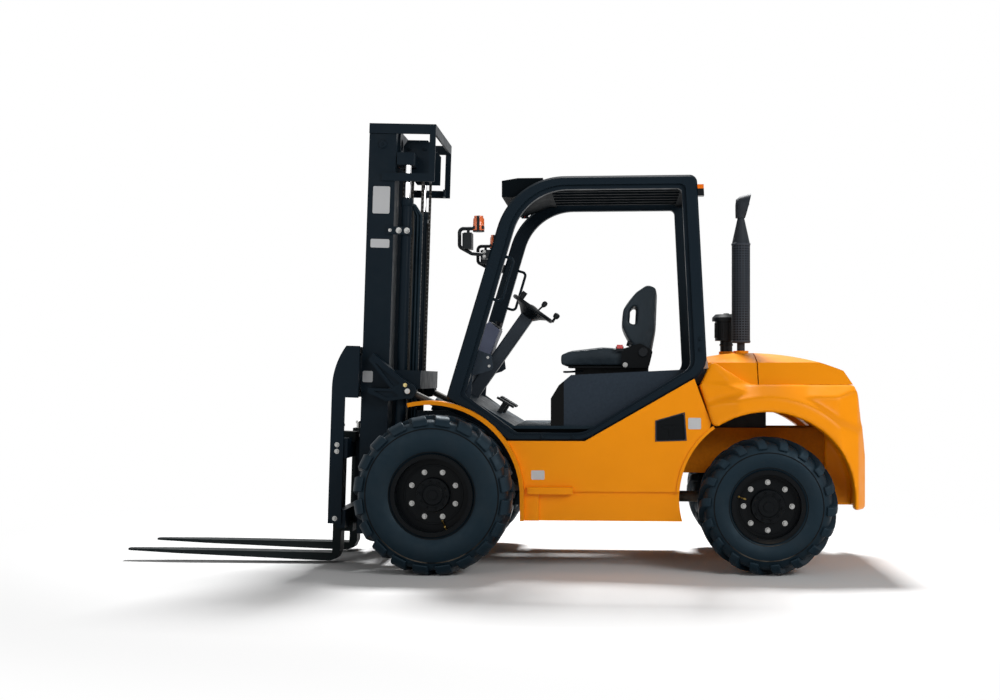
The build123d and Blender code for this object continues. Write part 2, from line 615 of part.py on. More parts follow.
# handle of the latch: front and rear end behind the front axle, bottom and top
LATCH_HANDLE = (1322.0, 1424.0, 838.0, 856.0)
LATCH_STEM = (1362.0, 1384.0, 800.0, 840.0)
arch_x = ahead(FENDER_FORWARD)
seam_top = SILL_BOTTOM + DIAGONAL_SLOPE * (SEAM_LOW_BEHIND - SILL_REAR)
tank_top_behind = (
    SEAM_LOW_BEHIND - SEAM_SLOPE * (seam_top - SEAM_LOW_HEIGHT)
)
tank_top = SILL_BOTTOM + DIAGONAL_SLOPE * (tank_top_behind - SILL_REAR)
for name, side in SIDES:
    with BuildPart() as tank:
        low, high = sorted((side * FRAME_HALF_WIDTH, side * TANK_HALF_WIDTH))
        with BuildSketch(side_plane(high)):
            with BuildLine():
                Polyline(outline((
                    (0.0, TANK_BOTTOM), (1500.0, TANK_BOTTOM), (SEAM_LOW_BEHIND, SEAM_LOW_HEIGHT),
                    (tank_top_behind, tank_top), (SILL_REAR, SILL_BOTTOM), (0.0, SILL_BOTTOM),
                )), close=True)
            make_face()
        extrude(amount=high - low)
        bar_along_y(arch_x, FENDER_HEIGHT, FENDER_RADIUS + FIT_GAP, low, high, mode=Mode.SUBTRACT)
        slab((arch_x - FENDER_RADIUS - FIT_GAP, FRONT_AXLE_X + 1), (low, high), (0, FENDER_HEIGHT),
             mode=Mode.SUBTRACT)
        bar_along_y(REAR_AXLE_X, REAR_ARCH_HEIGHT, REAR_ARCH_RADIUS, low, high, mode=Mode.SUBTRACT)
        skirt = sorted((side * (TANK_HALF_WIDTH - SKIRT_DEPTH), side * TANK_HALF_WIDTH))
        slab((station(WHEELBASE), station(SKIRT_FRONT)), skirt, (0, SKIRT_TOP), mode=Mode.SUBTRACT)
        step = sorted((side * (TANK_HALF_WIDTH - SKIRT_DEPTH - 1), side * (TANK_HALF_WIDTH + STEP_PROUD)))
        slab((station(STEP_REAR), station(STEP_FRONT)), step, (STEP_TOP - STEP_THICKNESS, STEP_TOP))
        recess = sorted((side * (TANK_HALF_WIDTH - LATCH_DEPTH), side * TANK_HALF_WIDTH))
        with BuildSketch(side_plane(recess[1])):
            with BuildLine():
                FilletPolyline(*outline(LATCH_OUTLINE), radius=LATCH_CORNER, close=True)
            make_face()
        extrude(amount=LATCH_DEPTH, mode=Mode.SUBTRACT)
        lip_face = sorted((side * (TANK_HALF_WIDTH - 1), side * (TANK_HALF_WIDTH + ARCH_LIP_PROUD)))
        with BuildSketch(side_plane(lip_face[1])):
            with Locations((REAR_AXLE_X, REAR_ARCH_HEIGHT)):
                Circle(REAR_ARCH_RADIUS + ARCH_LIP_WIDTH)
                Circle(REAR_ARCH_RADIUS, mode=Mode.SUBTRACT)
            with BuildLine():
                Polyline(outline((
                    (SILL_REAR, SKIRT_TOP), (WHEELBASE, SKIRT_TOP), (SEAM_LOW_BEHIND, SEAM_LOW_HEIGHT),
                    (tank_top_behind, tank_top), (SILL_REAR, tank_top),
                )), close=True)
            make_face(mode=Mode.INTERSECT)
        extrude(amount=lip_face[1] - lip_face[0])
    keep(tank.part, f"side_tank_{name}")

# Latch panels: a plate in the recess of each tank, with a raised handle
with BuildPart() as latch_panels:
    for side in (1, -1):
        floor = TANK_HALF_WIDTH - LATCH_DEPTH
        plate = sorted((side * floor, side * (floor + LATCH_PANEL)))
        with BuildSketch(side_plane(plate[1])):
            with BuildLine():
                FilletPolyline(*outline(LATCH_OUTLINE), radius=LATCH_CORNER, close=True)
            make_face()
            offset(amount=-FIT_GAP, mode=Mode.REPLACE)
        extrude(amount=LATCH_PANEL)
        grip = sorted((side * floor, side * TANK_HALF_WIDTH))
        for front_end, rear_end, low, high in (LATCH_HANDLE, LATCH_STEM):
            slab((station(rear_end), station(front_end)), grip, (low, high))
keep(latch_panels.part, "latch_panels")

# Front fenders: a rolled sheet over each front wheel, straight down behind it, with a turned-in edge
FENDER_EDGE_DEPTH = 24.0
FENDER_EDGE_WIDTH = 14.0
tip_angle = degrees(atan2(sqrt(FENDER_RADIUS**2 - (FENDER_TIP_FORWARD - FENDER_FORWARD) ** 2),
                          FENDER_TIP_FORWARD - FENDER_FORWARD))
with BuildPart() as front_fenders:
    for depth, width in ((FENDER_THICKNESS, FENDER_WIDTH), (FENDER_EDGE_DEPTH, FENDER_EDGE_WIDTH)):
        inner = FENDER_RADIUS - depth
        with BuildSketch(side_plane(FENDER_HALF_WIDTH)):
            with BuildLine():
                for radius in (FENDER_RADIUS, inner):
                    CenterArc((arch_x, FENDER_HEIGHT), radius, tip_angle, 180 - tip_angle)
                    Line((arch_x - radius, FENDER_HEIGHT), (arch_x - radius, TANK_BOTTOM))
                Line((arch_x - FENDER_RADIUS, TANK_BOTTOM), (arch_x - inner, TANK_BOTTOM))
                Line(
                    (arch_x + FENDER_RADIUS * cos(radians(tip_angle)),
                     FENDER_HEIGHT + FENDER_RADIUS * sin(radians(tip_angle))),
                    (arch_x + inner * cos(radians(tip_angle)),
                     FENDER_HEIGHT + inner * sin(radians(tip_angle))),
                )
            make_face()
        extrude(amount=width)
    mirror(about=Plane.XZ)
keep(front_fenders.part, "front_fenders")

# Counterweight: rear mass with an arm over each rear wheel, open in the middle for the engine
WEIGHT_REAR_TOP = 2427.0
WEIGHT_REAR = WHEELBASE + REAR_OVERHANG
GRILLE_HALF_WIDTH = 220.0
GRILLE_BOTTOM = 640.0
GRILLE_TOP = 960.0
TOW_BEHIND = 2470.0
TOW_BORE_RADIUS = 18.0
TOW_SLOT_HALF = 70.0
TOW_SLOT_BOTTOM = 430.0
TOW_SLOT_TOP = 510.0
TOW_SLOT_DEPTH = 110.0
arm_front = SEAM_LOW_BEHIND + SEAM_GAP
arm_front_top = arm_front - SEAM_SLOPE * (DECK_HEIGHT - SEAM_LOW_HEIGHT)
WEIGHT_BULGE_BEHIND = 1760.0
WEIGHT_CORNER_BEHIND = 2330.0
WEIGHT_TAIL_BEHIND = 2440.0
WEIGHT_TAIL_HALF_WIDTH = 380.0
WEIGHT_WAIST = (2449.0, 1036.0)
WEIGHT_BULGE_HEIGHT = 548.0
WEIGHT_FOOT_HEIGHT = 404.0
FLARE_WIDTH = 83.0
FLARE_PROUD = 45.0
FLARE_SPREAD = 0.9
SHOULDER_START = 1640.0
SHOULDER_FULL = 1880.0
SHOULDER_DROP = 110.0
SHOULDER_INSET = 8.0
CHEEK_TOP = 1222.0
body_half = WEIGHT_HALF_WIDTH - FLARE_PROUD
# half width of the body and of the flare along the length: behind, half width
BODY_PLAN = ((arm_front_top - 10, TANK_HALF_WIDTH), (WEIGHT_BULGE_BEHIND, body_half),
             (WEIGHT_CORNER_BEHIND, body_half), (WEIGHT_TAIL_BEHIND, 605.0), (2502.0, 500.0),
             (WEIGHT_REAR, WEIGHT_TAIL_HALF_WIDTH))
FLARE_PLAN = ((arm_front_top - 10, TANK_HALF_WIDTH + ARCH_LIP_PROUD), (WEIGHT_BULGE_BEHIND, WEIGHT_HALF_WIDTH),
              (WEIGHT_CORNER_BEHIND, WEIGHT_HALF_WIDTH), (WEIGHT_TAIL_BEHIND, 640.0), (2505.0, 520.0),
              (WEIGHT_REAR, WEIGHT_TAIL_HALF_WIDTH))


def weight_form(half_plan):
    """Side outline of the counterweight crossed with a plan of half widths."""
    with BuildPart() as form:
        with BuildSketch(Plane.XZ):
            with BuildLine():
                Polyline(outline((
                    (2150.0, WEIGHT_BOTTOM), (arm_front, SEAM_LOW_HEIGHT), (arm_front_top, DECK_HEIGHT),
                    (WEIGHT_REAR_TOP, DECK_HEIGHT), WEIGHT_WAIST, (WEIGHT_REAR, WEIGHT_BULGE_HEIGHT),
                    (WEIGHT_REAR - 6, WEIGHT_FOOT_HEIGHT), (WEIGHT_REAR - 26, WEIGHT_BOTTOM),
                )), close=True)
            make_face()
        extrude(amount=WEIGHT_HALF_WIDTH, both=True)
        with BuildSketch(Plane.XY):
            with BuildLine():
                plan = [(station(behind), y) for behind, y in half_plan]
                Polyline(plan + [(x, -y) for x, y in reversed(plan)], close=True)
            make_face()
        extrude(amount=DECK_HEIGHT + 10, mode=Mode.INTERSECT)
    return form.part


def arch_cone():
    """Cones round both rear arches that bound the flare, wide inside and narrow at its face."""
    reach = WEIGHT_HALF_WIDTH - FRAME_HALF_WIDTH
    with BuildPart() as cones:
        for y, radius in ((FRAME_HALF_WIDTH, REAR_ARCH_RADIUS + FLARE_WIDTH + FLARE_SPREAD * reach),
                          (WEIGHT_HALF_WIDTH, REAR_ARCH_RADIUS + FLARE_WIDTH)):
            with BuildSketch(side_plane(y)):
                with Locations((REAR_AXLE_X, REAR_ARCH_HEIGHT)):
                    Circle(radius)
        loft()
        mirror(about=Plane.XZ)
    return cones.part


def shoulder_face(behind, drop, inset):
    """Section of the slope along the top edge of the counterweight."""
    outer = WEIGHT_HALF_WIDTH
    with BuildSketch(Plane((station(behind), 0, 0), x_dir=(0, 1, 0), z_dir=(1, 0, 0))) as face:
        with BuildLine():
            Polyline((outer, DECK_HEIGHT - drop), (outer, DECK_HEIGHT + 1), (inset, DECK_HEIGHT + 1), close=True)
        make_face()
    return face.sketch


with BuildPart() as flare:
    add(weight_form(FLARE_PLAN))
    add(arch_cone(), mode=Mode.INTERSECT)
with BuildPart() as counterweight:
    add(weight_form(BODY_PLAN))
    shoulder_inner = HOOD_HALF_WIDTH + SHOULDER_INSET
    with BuildPart(mode=Mode.PRIVATE) as slope:
        loft([shoulder_face(SHOULDER_START, 2.0, body_half), shoulder_face(SHOULDER_FULL, SHOULDER_DROP, shoulder_inner),
              shoulder_face(WEIGHT_REAR, SHOULDER_DROP, shoulder_inner)], ruled=True)
        mirror(about=Plane.XZ)
    add(slope.part, mode=Mode.SUBTRACT)
    add(flare.part)
    # Cheek between the guard and the hood on each side
    with BuildPart(mode=Mode.PRIVATE) as cheek:
        for height, corners in (
            (DECK_HEIGHT - 1, ((1540.0, TANK_HALF_WIDTH), (1540.0, shoulder_inner), (1850.0, shoulder_inner),
                               (1720.0, TANK_HALF_WIDTH + 10))),
            (CHEEK_TOP, ((1600.0, TANK_HALF_WIDTH - 25), (1600.0, shoulder_inner), (1640.0, shoulder_inner),
                         (1625.0, TANK_HALF_WIDTH - 25))),
        ):
            with BuildSketch(Plane.XY.offset(height)):
                with BuildLine():
                    Polyline([(station(behind), y) for behind, y in corners], close=True)
                make_face()
        loft(ruled=True)
        mirror(about=Plane.XZ)
    add(cheek.part)
    for side in (1, -1):
        pocket = sorted((side * BAY_HALF_WIDTH, side * FRAME_HALF_WIDTH))
        lip = sorted((side * FRAME_HALF_WIDTH, side * WEIGHT_HALF_WIDTH))
        bar_along_y(REAR_AXLE_X, REAR_ARCH_HEIGHT, REAR_POCKET_RADIUS, *pocket, mode=Mode.SUBTRACT)
        bar_along_y(REAR_AXLE_X, REAR_ARCH_HEIGHT, REAR_ARCH_RADIUS, *lip, mode=Mode.SUBTRACT)
    slab((station(BAY_REAR), FRONT_AXLE_X), (-BAY_HALF_WIDTH, BAY_HALF_WIDTH), (0, DECK_HEIGHT + 10),
         mode=Mode.SUBTRACT)
    slab((station(WEIGHT_REAR) - 1, station(BAY_REAR)), (-GRILLE_HALF_WIDTH, GRILLE_HALF_WIDTH),
         (GRILLE_BOTTOM, GRILLE_TOP), mode=Mode.SUBTRACT)
    slab((station(WEIGHT_REAR) - 1, station(WEIGHT_REAR - TOW_SLOT_DEPTH)), (-TOW_SLOT_HALF, TOW_SLOT_HALF),
         (TOW_SLOT_BOTTOM, TOW_SLOT_TOP), mode=Mode.SUBTRACT)
    post(station(TOW_BEHIND), 0, TOW_BORE_RADIUS, 0, GRILLE_BOTTOM, mode=Mode.SUBTRACT)
keep(counterweight.part, "counterweight")

# Rear grille: a rim with level bars, set in the opening of the counterweight
GRILLE_BEHIND = 2420.0
GRILLE_DEPTH = 24.0
GRILLE_RIM = 26.0
GRILLE_BAR = 12.0
GRILLE_BAR_COUNT = 8
with BuildPart() as grille:
    grille_x = (station(GRILLE_BEHIND + GRILLE_DEPTH), station(GRILLE_BEHIND))
    slab(grille_x, (-GRILLE_HALF_WIDTH, GRILLE_HALF_WIDTH), (GRILLE_BOTTOM, GRILLE_TOP))
    window = GRILLE_HALF_WIDTH - GRILLE_RIM
    slab(grille_x, (-window, window), (GRILLE_BOTTOM + GRILLE_RIM, GRILLE_TOP - GRILLE_RIM), mode=Mode.SUBTRACT)
    pitch = (GRILLE_TOP - GRILLE_BOTTOM - 2 * GRILLE_RIM) / (GRILLE_BAR_COUNT + 1)
    for row in range(1, GRILLE_BAR_COUNT + 1):
        height = GRILLE_BOTTOM + GRILLE_RIM + row * pitch
        slab(grille_x, (-window, window), (height - GRILLE_BAR / 2, height + GRILLE_BAR / 2))
keep(grille.part, "rear_grille")

# Hood: crowned sheet, side profile crossed with a front section, split into a fixed front and a lid
HOOD_FRONT_TOP = 1262.0
HOOD_CREST = 1285.0
HOOD_CREST_BEHIND = 1900.0
HOOD_TAIL_BEHIND = 2376.0
HOOD_TAIL_TOP = 1176.0
HOOD_SHOULDER_HALF_WIDTH = 480.0
HOOD_SHOULDER = 1225.0
HOOD_CROWN = 1298.0


def hood_form(inset, base):
    """Crowned closed form of the hood, smaller all round by the inset, from the base height up."""
    with BuildPart() as form:
        with BuildSketch(Plane.XZ):
            with BuildLine():
                front = station(HOOD_FRONT + inset)
                rear = station(HOOD_REAR - inset)
                tail = (station(HOOD_TAIL_BEHIND - inset), HOOD_TAIL_TOP - inset)
                ThreePointArc((front, HOOD_FRONT_TOP - inset),
                              (station(HOOD_CREST_BEHIND), HOOD_CREST - inset), tail)
                Polyline(tail, (rear, base), (front, base), (front, HOOD_FRONT_TOP - inset))
            make_face()
        extrude(amount=HOOD_HALF_WIDTH, both=True)
        with BuildSketch(Plane.YZ):
            with BuildLine():
                edge = HOOD_HALF_WIDTH - inset
                shoulder = (HOOD_SHOULDER_HALF_WIDTH - inset, HOOD_SHOULDER - inset)
                ThreePointArc((-shoulder[0], shoulder[1]), (0, HOOD_CROWN - inset), shoulder)
                Polyline(shoulder, (edge, DECK_HEIGHT), (edge, 0), (-edge, 0), (-edge, DECK_HEIGHT),
                         (-shoulder[0], shoulder[1]))
            make_face()
        extrude(amount=WHEELBASE * 2, both=True, mode=Mode.INTERSECT)
    return form.part


BOSS_RADIUS = 46.0
hood_skin = hood_form(0.0, DECK_HEIGHT)
hood_space = hood_form(HOOD_SHEET, DECK_HEIGHT - HOOD_SHEET)
with BuildPart() as hood_front:
    add(hood_skin)
    for behind, y in ((EXHAUST_BEHIND, EXHAUST_Y), (INTAKE_BEHIND, INTAKE_Y)):
        post(station(behind), y, BOSS_RADIUS, DECK_HEIGHT, STACK_SEAT)
    add(hood_space, mode=Mode.SUBTRACT)
    split(bisect_by=Plane((station(HOOD_SPLIT - HOOD_SPLIT_GAP / 2), 0, 0), z_dir=(1, 0, 0)), keep=Keep.TOP)
    engine_way = ENGINE_HALF_WIDTH + ENGINE_CLEARANCE
    slab((station(HOOD_FRONT + HOOD_SHEET), station(HOOD_FRONT)), (-engine_way, engine_way),
         (DECK_HEIGHT, ENGINE_TOP + ENGINE_CLEARANCE), mode=Mode.SUBTRACT)
keep(hood_front.part, "hood_front")
with BuildPart() as hood_lid:
    add(hood_skin)
    add(hood_space, mode=Mode.SUBTRACT)
    split(bisect_by=Plane((station(HOOD_SPLIT + HOOD_SPLIT_GAP / 2), 0, 0), z_dir=(-1, 0, 0)), keep=Keep.TOP)
keep(hood_lid.part, "hood_lid")

# Exhaust stack: pipe, silencer, cone and a scooped tail
PIPE_RADIUS = 24.0
MUFFLER_BOTTOM = 1348.0
MUFFLER_TOP = 1960.0
CONE_TOP = 2119.0
TAIL_RADIUS = 19.0
TAIL_TOP = 2215.0
TAIL_MOUTH_RADIUS = 40.0
TAIL_LEAN = 16.0
TAIL_WALL = 4.0
with BuildPart() as exhaust:
    stack = (station(EXHAUST_BEHIND), EXHAUST_Y)
    post(*stack, PIPE_RADIUS, STACK_SEAT, MUFFLER_BOTTOM)
    post(*stack, MUFFLER_RADIUS, MUFFLER_BOTTOM, MUFFLER_TOP)
    for height, radius in ((MUFFLER_TOP, MUFFLER_RADIUS), (CONE_TOP, TAIL_RADIUS)):
        with BuildSketch(Plane.XY.offset(height)):
            with Locations(stack):
                Circle(radius)
    loft()
    with BuildSketch(Plane.XY.offset(CONE_TOP)):
        with Locations(stack):
            Circle(TAIL_RADIUS)
    with BuildSketch(Plane((stack[0] - TAIL_LEAN, stack[1], TAIL_TOP), z_dir=(sin(radians(-25)), 0, cos(radians(25))))):
        Circle(TAIL_MOUTH_RADIUS)
    loft()
    with BuildSketch(Plane.XY.offset(CONE_TOP)):
        with Locations(stack):
            Circle(TAIL_RADIUS - TAIL_WALL)
    with BuildSketch(Plane((stack[0] - TAIL_LEAN, stack[1], TAIL_TOP), z_dir=(sin(radians(-25)), 0, cos(radians(25))))):
        Circle(TAIL_MOUTH_RADIUS - TAIL_WALL)
    loft(mode=Mode.SUBTRACT)
keep(exhaust.part, "exhaust_stack")

# Air intake: neck, bowl and a wide cap
INTAKE_NECK_RADIUS = 38.0
INTAKE_BOWL_RADIUS = 70.0
INTAKE_CAP_RADIUS = 88.0
INTAKE_BOWL_BOTTOM = 1367.0
INTAKE_BOWL_TOP = 1489.0
INTAKE_CAP_TOP = 1532.0
with BuildPart() as intake:
    place = (station(INTAKE_BEHIND), INTAKE_Y)
    post(*place, INTAKE_NECK_RADIUS, STACK_SEAT, INTAKE_BOWL_BOTTOM)
    post(*place, INTAKE_BOWL_RADIUS, INTAKE_BOWL_BOTTOM, INTAKE_BOWL_TOP)
    post(*place, INTAKE_CAP_RADIUS, INTAKE_BOWL_TOP, INTAKE_CAP_TOP)
    chamfer(intake.edges().group_by(Axis.Z)[-1], 20)
keep(intake.part, "air_precleaner")

# Floor and toe board, one bent plate on the main rails
SEAT_BOX_FRONT = 664.0
SEAT_BOX_REAR = 1585.0
SEAT_BOX_STEP = 1525.0
toe_slope = (TOE_TOP - FLOOR_TOP) / (TOE_BEND - TOE_FRONT)
toe_drop = FLOOR_THICKNESS * sqrt(1 + toe_slope**2)


def toe_height(behind):
    """Height of the toe board's upper face."""
    return FLOOR_TOP + toe_slope * (TOE_BEND - behind)


with BuildPart() as floor_plate:
    with BuildSketch(Plane.XZ):
        with BuildLine():
            Polyline(outline((
                (MAIN_RAIL_END, FLOOR_TOP), (TOE_BEND, FLOOR_TOP), (TOE_FRONT, TOE_TOP),
                (TOE_FRONT, TOE_TOP - toe_drop), (TOE_BEND + (FLOOR_THICKNESS - toe_drop) / toe_slope,
                                                  FLOOR_TOP - FLOOR_THICKNESS),
                (MAIN_RAIL_END, FLOOR_TOP - FLOOR_THICKNESS),
            )), close=True)
        make_face()
    extrude(amount=FLOOR_HALF_WIDTH, both=True)
keep(floor_plate.part, "floor_plate")

# Cowl: folded sheet in front of the operator, closed at the sides, open to the rear
COWL_FRONT = 95.0
COWL_TOP_FRONT = (144.0, 1305.0)
COWL_TOP_REAR = (279.0, 1262.0)
COWL_LIP = (279.0, 1231.0)
COWL_KNEE = (200.0, 1165.0)
COWL_FOOT = 187.0
COLUMN_NOTCH_FRONT = 225.0
COLUMN_NOTCH_HALF = 48.0
with BuildPart() as cowl:
    with BuildSketch(Plane.XZ):
        with BuildLine():
            Polyline(outline((
                (COWL_FRONT, toe_height(COWL_FRONT)), COWL_TOP_FRONT, COWL_TOP_REAR, COWL_LIP, COWL_KNEE,
                (COWL_FOOT, toe_height(COWL_FOOT)),
            )), close=True)
        make_face()
    extrude(amount=FLOOR_HALF_WIDTH, both=True)
    with BuildSketch(Plane.XZ):
        with BuildLine():
            Polyline(outline((
                (COWL_FRONT + SHEET, toe_height(COWL_FRONT + SHEET) - 30),
                (COWL_FRONT + SHEET, toe_height(COWL_FRONT)),
                (COWL_TOP_FRONT[0] + SHEET, COWL_TOP_FRONT[1] - 1.5 * SHEET),
                (COWL_TOP_REAR[0] + SHEET, COWL_TOP_REAR[1] - 2 * SHEET),
                (COWL_TOP_REAR[0] + SHEET, toe_height(COWL_TOP_REAR[0]) - 30),
            )), close=True)
        make_face()
    extrude(amount=FLOOR_HALF_WIDTH - SHEET, both=True, mode=Mode.SUBTRACT)
    slab((station(COWL_TOP_REAR[0]) - 1, station(COLUMN_NOTCH_FRONT)), (-COLUMN_NOTCH_HALF, COLUMN_NOTCH_HALF),
         (COWL_KNEE[1], COWL_TOP_FRONT[1]), mode=Mode.SUBTRACT)
keep(cowl.part, "cowl")

# Overhead guard: a closed ring of tube on each side, with a beam, pillars, a diagonal and a sill
ring_rear_low = 1582.0
FOOT_ABOVE_FENDER = 23.3
INNER_FOOT_ABOVE_FENDER = 73.9
LIP_FOOT_ABOVE_FENDER = 57.0
SILL_BEHIND_FENDER = 6.2
INNER_SILL_BEHIND_FENDER = 95.5
LIP_SILL_BEHIND_FENDER = 69.0


def fender_top(behind):
    """Height of the front fender's upper face."""
    return FENDER_HEIGHT + sqrt(FENDER_RADIUS**2 - (behind + FENDER_FORWARD) ** 2)


def fender_rear(height):
    """Station of the front fender's rear face."""
    return sqrt(FENDER_RADIUS**2 - (height - FENDER_HEIGHT) ** 2) - FENDER_FORWARD


inner_sill = SILL_BOTTOM + GUARD_SILL
lip_sill = inner_sill - 16.0
# outer and inner outline of the ring: behind, height, bend radius
RING_OUTER = (
    (51.0, fender_top(51.0) + FOOT_ABOVE_FENDER, 24.0),
    (444.0, GUARD_TOP, 415.0),
    (1521.0, GUARD_TOP, 45.0),
    (ring_rear_low, SILL_BOTTOM + DIAGONAL_SLOPE * (ring_rear_low - SILL_REAR), 150.0),
    (SILL_REAR, SILL_BOTTOM, 200.0),
    (fender_rear(SILL_BOTTOM) + SILL_BEHIND_FENDER, SILL_BOTTOM, 22.0),
)
RING_INNER = (
    (160.0, fender_top(160.0) + INNER_FOOT_ABOVE_FENDER, 20.0),
    (519.0, GUARD_TOP - GUARD_BEAM, 335.0),
    (1435.0, GUARD_TOP - GUARD_BEAM, 30.0),
    (1487.0, SILL_BOTTOM + GUARD_SILL + DIAGONAL_SLOPE * (1487.0 - SILL_REAR) + 28.0, 75.0),
    (SILL_REAR - 10, inner_sill, 150.0),
    (fender_rear(inner_sill) + INNER_SILL_BEHIND_FENDER, inner_sill, 40.0),
)

# edge between the tube and its thinner inner lip
RING_LIP = (
    (133.0, fender_top(133.0) + LIP_FOOT_ABOVE_FENDER, 20.0),
    (498.0, GUARD_TOP - GUARD_BEAM + 24.0, 355.0),
    (1456.0, GUARD_TOP - GUARD_BEAM + 24.0, 35.0),
    (1513.0, SILL_BOTTOM + DIAGONAL_SLOPE * (1513.0 - SILL_REAR) + 62.0, 95.0),
    (SILL_REAR - 4, lip_sill, 170.0),
    (fender_rear(lip_sill) + LIP_SILL_BEHIND_FENDER, lip_sill, 35.0),
)
LIP_DEPTH = 24.0
TUBE_EDGE = 12.0


def bent_outline(table):
    """Closed side outline with rounded bends from a ring table."""
    points = outline([(behind, height) for behind, height, _ in table])
    return FilletPolyline(*points, radius=[radius for _, _, radius in table], close=True)


for name, side in SIDES:
    with BuildPart() as ring:
        low, high = sorted((side * GUARD_INNER_Y, side * (GUARD_INNER_Y + GUARD_TUBE_WIDTH)))
        with BuildSketch(side_plane(high)):
            with BuildLine():
                bent_outline(RING_OUTER)
            make_face()
            with BuildLine():
                bent_outline(RING_INNER)
            make_face(mode=Mode.SUBTRACT)
        extrude(amount=GUARD_TUBE_WIDTH)
        for face in (ring.faces().sort_by(Axis.Y)[-1], ring.faces().sort_by(Axis.Y)[0]):
            chamfer(face.outer_wire().edges(), TUBE_EDGE)
        with BuildSketch(side_plane(high if side > 0 else low + LIP_DEPTH)):
            with BuildLine():
                bent_outline(RING_LIP)
            make_face()
        extrude(amount=LIP_DEPTH, mode=Mode.SUBTRACT)
        bar_along_y(arch_x, FENDER_HEIGHT, FENDER_RADIUS + 2, low, high, mode=Mode.SUBTRACT)
    keep(ring.part, f"guard_ring_{name}")

# Guard roof: visor at the front, cross beams and slats between the two rings
ROOF_FRONT = 660.0
ROOF_REAR = 1500.0
ROOF_BEAM = 60.0
ROOF_BAR_HEIGHT = 40.0
ROOF_BAR_WIDTH = 30.0
ROOF_BAR_COUNT = 7
ROOF_TOP = GUARD_TOP - 12.0
VISOR_FRONT = 376.0
with BuildPart() as roof:
    with BuildSketch(Plane.XZ):
        with BuildLine():
            Polyline(outline((
                (VISOR_FRONT, 2209.0), (VISOR_FRONT, 2304.0), (471.0, GUARD_TOP), (620.0, GUARD_TOP),
                (620.0, 2270.0), (436.0, 2203.0),
            )), close=True)
        make_face()
    extrude(amount=GUARD_INNER_Y, both=True)
    for behind in (ROOF_FRONT - ROOF_BEAM, ROOF_REAR - ROOF_BEAM):
        slab((station(behind + ROOF_BEAM), station(behind)), (-GUARD_INNER_Y, GUARD_INNER_Y),
             (ROOF_TOP - ROOF_BAR_HEIGHT, ROOF_TOP))
    spacing = 2 * GUARD_INNER_Y / (ROOF_BAR_COUNT + 1)
    with BuildSketch(Plane.XY.offset(ROOF_TOP - ROOF_BAR_HEIGHT)):
        with Locations((station((ROOF_FRONT + ROOF_REAR) / 2), 0)):
            with GridLocations(0, spacing, 1, ROOF_BAR_COUNT):
                Rectangle(ROOF_REAR - ROOF_FRONT, ROOF_BAR_WIDTH)
    extrude(amount=ROOF_BAR_HEIGHT)
keep(roof.part, "guard_roof")

# Seat box: folded cover over the front of the engine, closed at the front, open below
SEAT_BOX_OUTLINE = ((SEAT_BOX_FRONT, FLOOR_TOP), (SEAT_BOX_FRONT, 1012.0), (712.0, 1091.0), (785.0, 1152.0),
                    (SEAT_BOX_REAR, 1190.0), (SEAT_BOX_REAR, FLOOR_TOP))
SEAT_BOX_INSIDE = ((SEAT_BOX_FRONT + SHEET, FLOOR_TOP - 1), (SEAT_BOX_FRONT + SHEET, 1008.0), (721.0, 1081.0),
                   (789.0, 1139.0), (SEAT_BOX_REAR + 1, 1177.0), (SEAT_BOX_REAR + 1, FLOOR_TOP - 1))
with BuildPart() as seat_box:
    for points, half_width, mode in (
        (SEAT_BOX_OUTLINE, SEAT_BOX_HALF_WIDTH, Mode.ADD),
        (SEAT_BOX_INSIDE, SEAT_BOX_HALF_WIDTH - SHEET, Mode.SUBTRACT),
    ):
        with BuildSketch(Plane.XZ):
            with BuildLine():
                Polyline(outline(points), close=True)
            make_face()
        extrude(amount=half_width, both=True, mode=mode)
    slab((station(SEAT_BOX_REAR) - 1, station(SEAT_BOX_STEP)), (-SEAT_BOX_HALF_WIDTH, SEAT_BOX_HALF_WIDTH),
         (0, DECK_HEIGHT + SEAM_GAP), mode=Mode.SUBTRACT)
keep(seat_box.part, "seat_box")


def seat_box_top(behind):
    """Height of the seat box's upper face."""
    return 1152.0 + (1190.0 - 1152.0) * (behind - 785.0) / (SEAT_BOX_REAR - 785.0)


# Seat: runners on the box, padded cushion and backrest, hinge covers at the sides
SEAT_FRONT = 712.0
SEAT_REAR = 1262.0
RUNNER_Y = 150.0
RUNNER_WIDTH = 40.0
RUNNER_TOP = 1196.0
HINGE_COVER = 26.0
BOLSTER_OPENING = ((1128.0, 1470.0), (1132.0, 1545.0), (1172.0, 1590.0), (1182.0, 1560.0), (1176.0, 1455.0))
with BuildPart() as seat_frame:
    for side in (1, -1):
        with BuildSketch(side_plane(side * RUNNER_Y + RUNNER_WIDTH / 2)):
            with BuildLine():
                Polyline(outline((
                    (800.0, seat_box_top(800.0)), (1250.0, seat_box_top(1250.0)), (1250.0, RUNNER_TOP),
                    (800.0, RUNNER_TOP),
                )), close=True)
            make_face()
        extrude(amount=RUNNER_WIDTH)
    slab((station(1250.0), station(760.0)), (-SEAT_HALF_WIDTH, SEAT_HALF_WIDTH), (RUNNER_TOP, RUNNER_TOP + 10))
    for side in (1, -1):
        cover = sorted((side * SEAT_HALF_WIDTH, side * (SEAT_HALF_WIDTH + HINGE_COVER)))
        with BuildSketch(side_plane(cover[1])):
            with BuildLine():
                FilletPolyline(*outline((
                    (1085.0, RUNNER_TOP), (1250.0, RUNNER_TOP), (1275.0, 1300.0), (1200.0, 1345.0),
                    (1085.0, 1310.0),
                )), radius=20, close=True)
            make_face()
        extrude(amount=HINGE_COVER)
keep(seat_frame.part, "seat_frame")
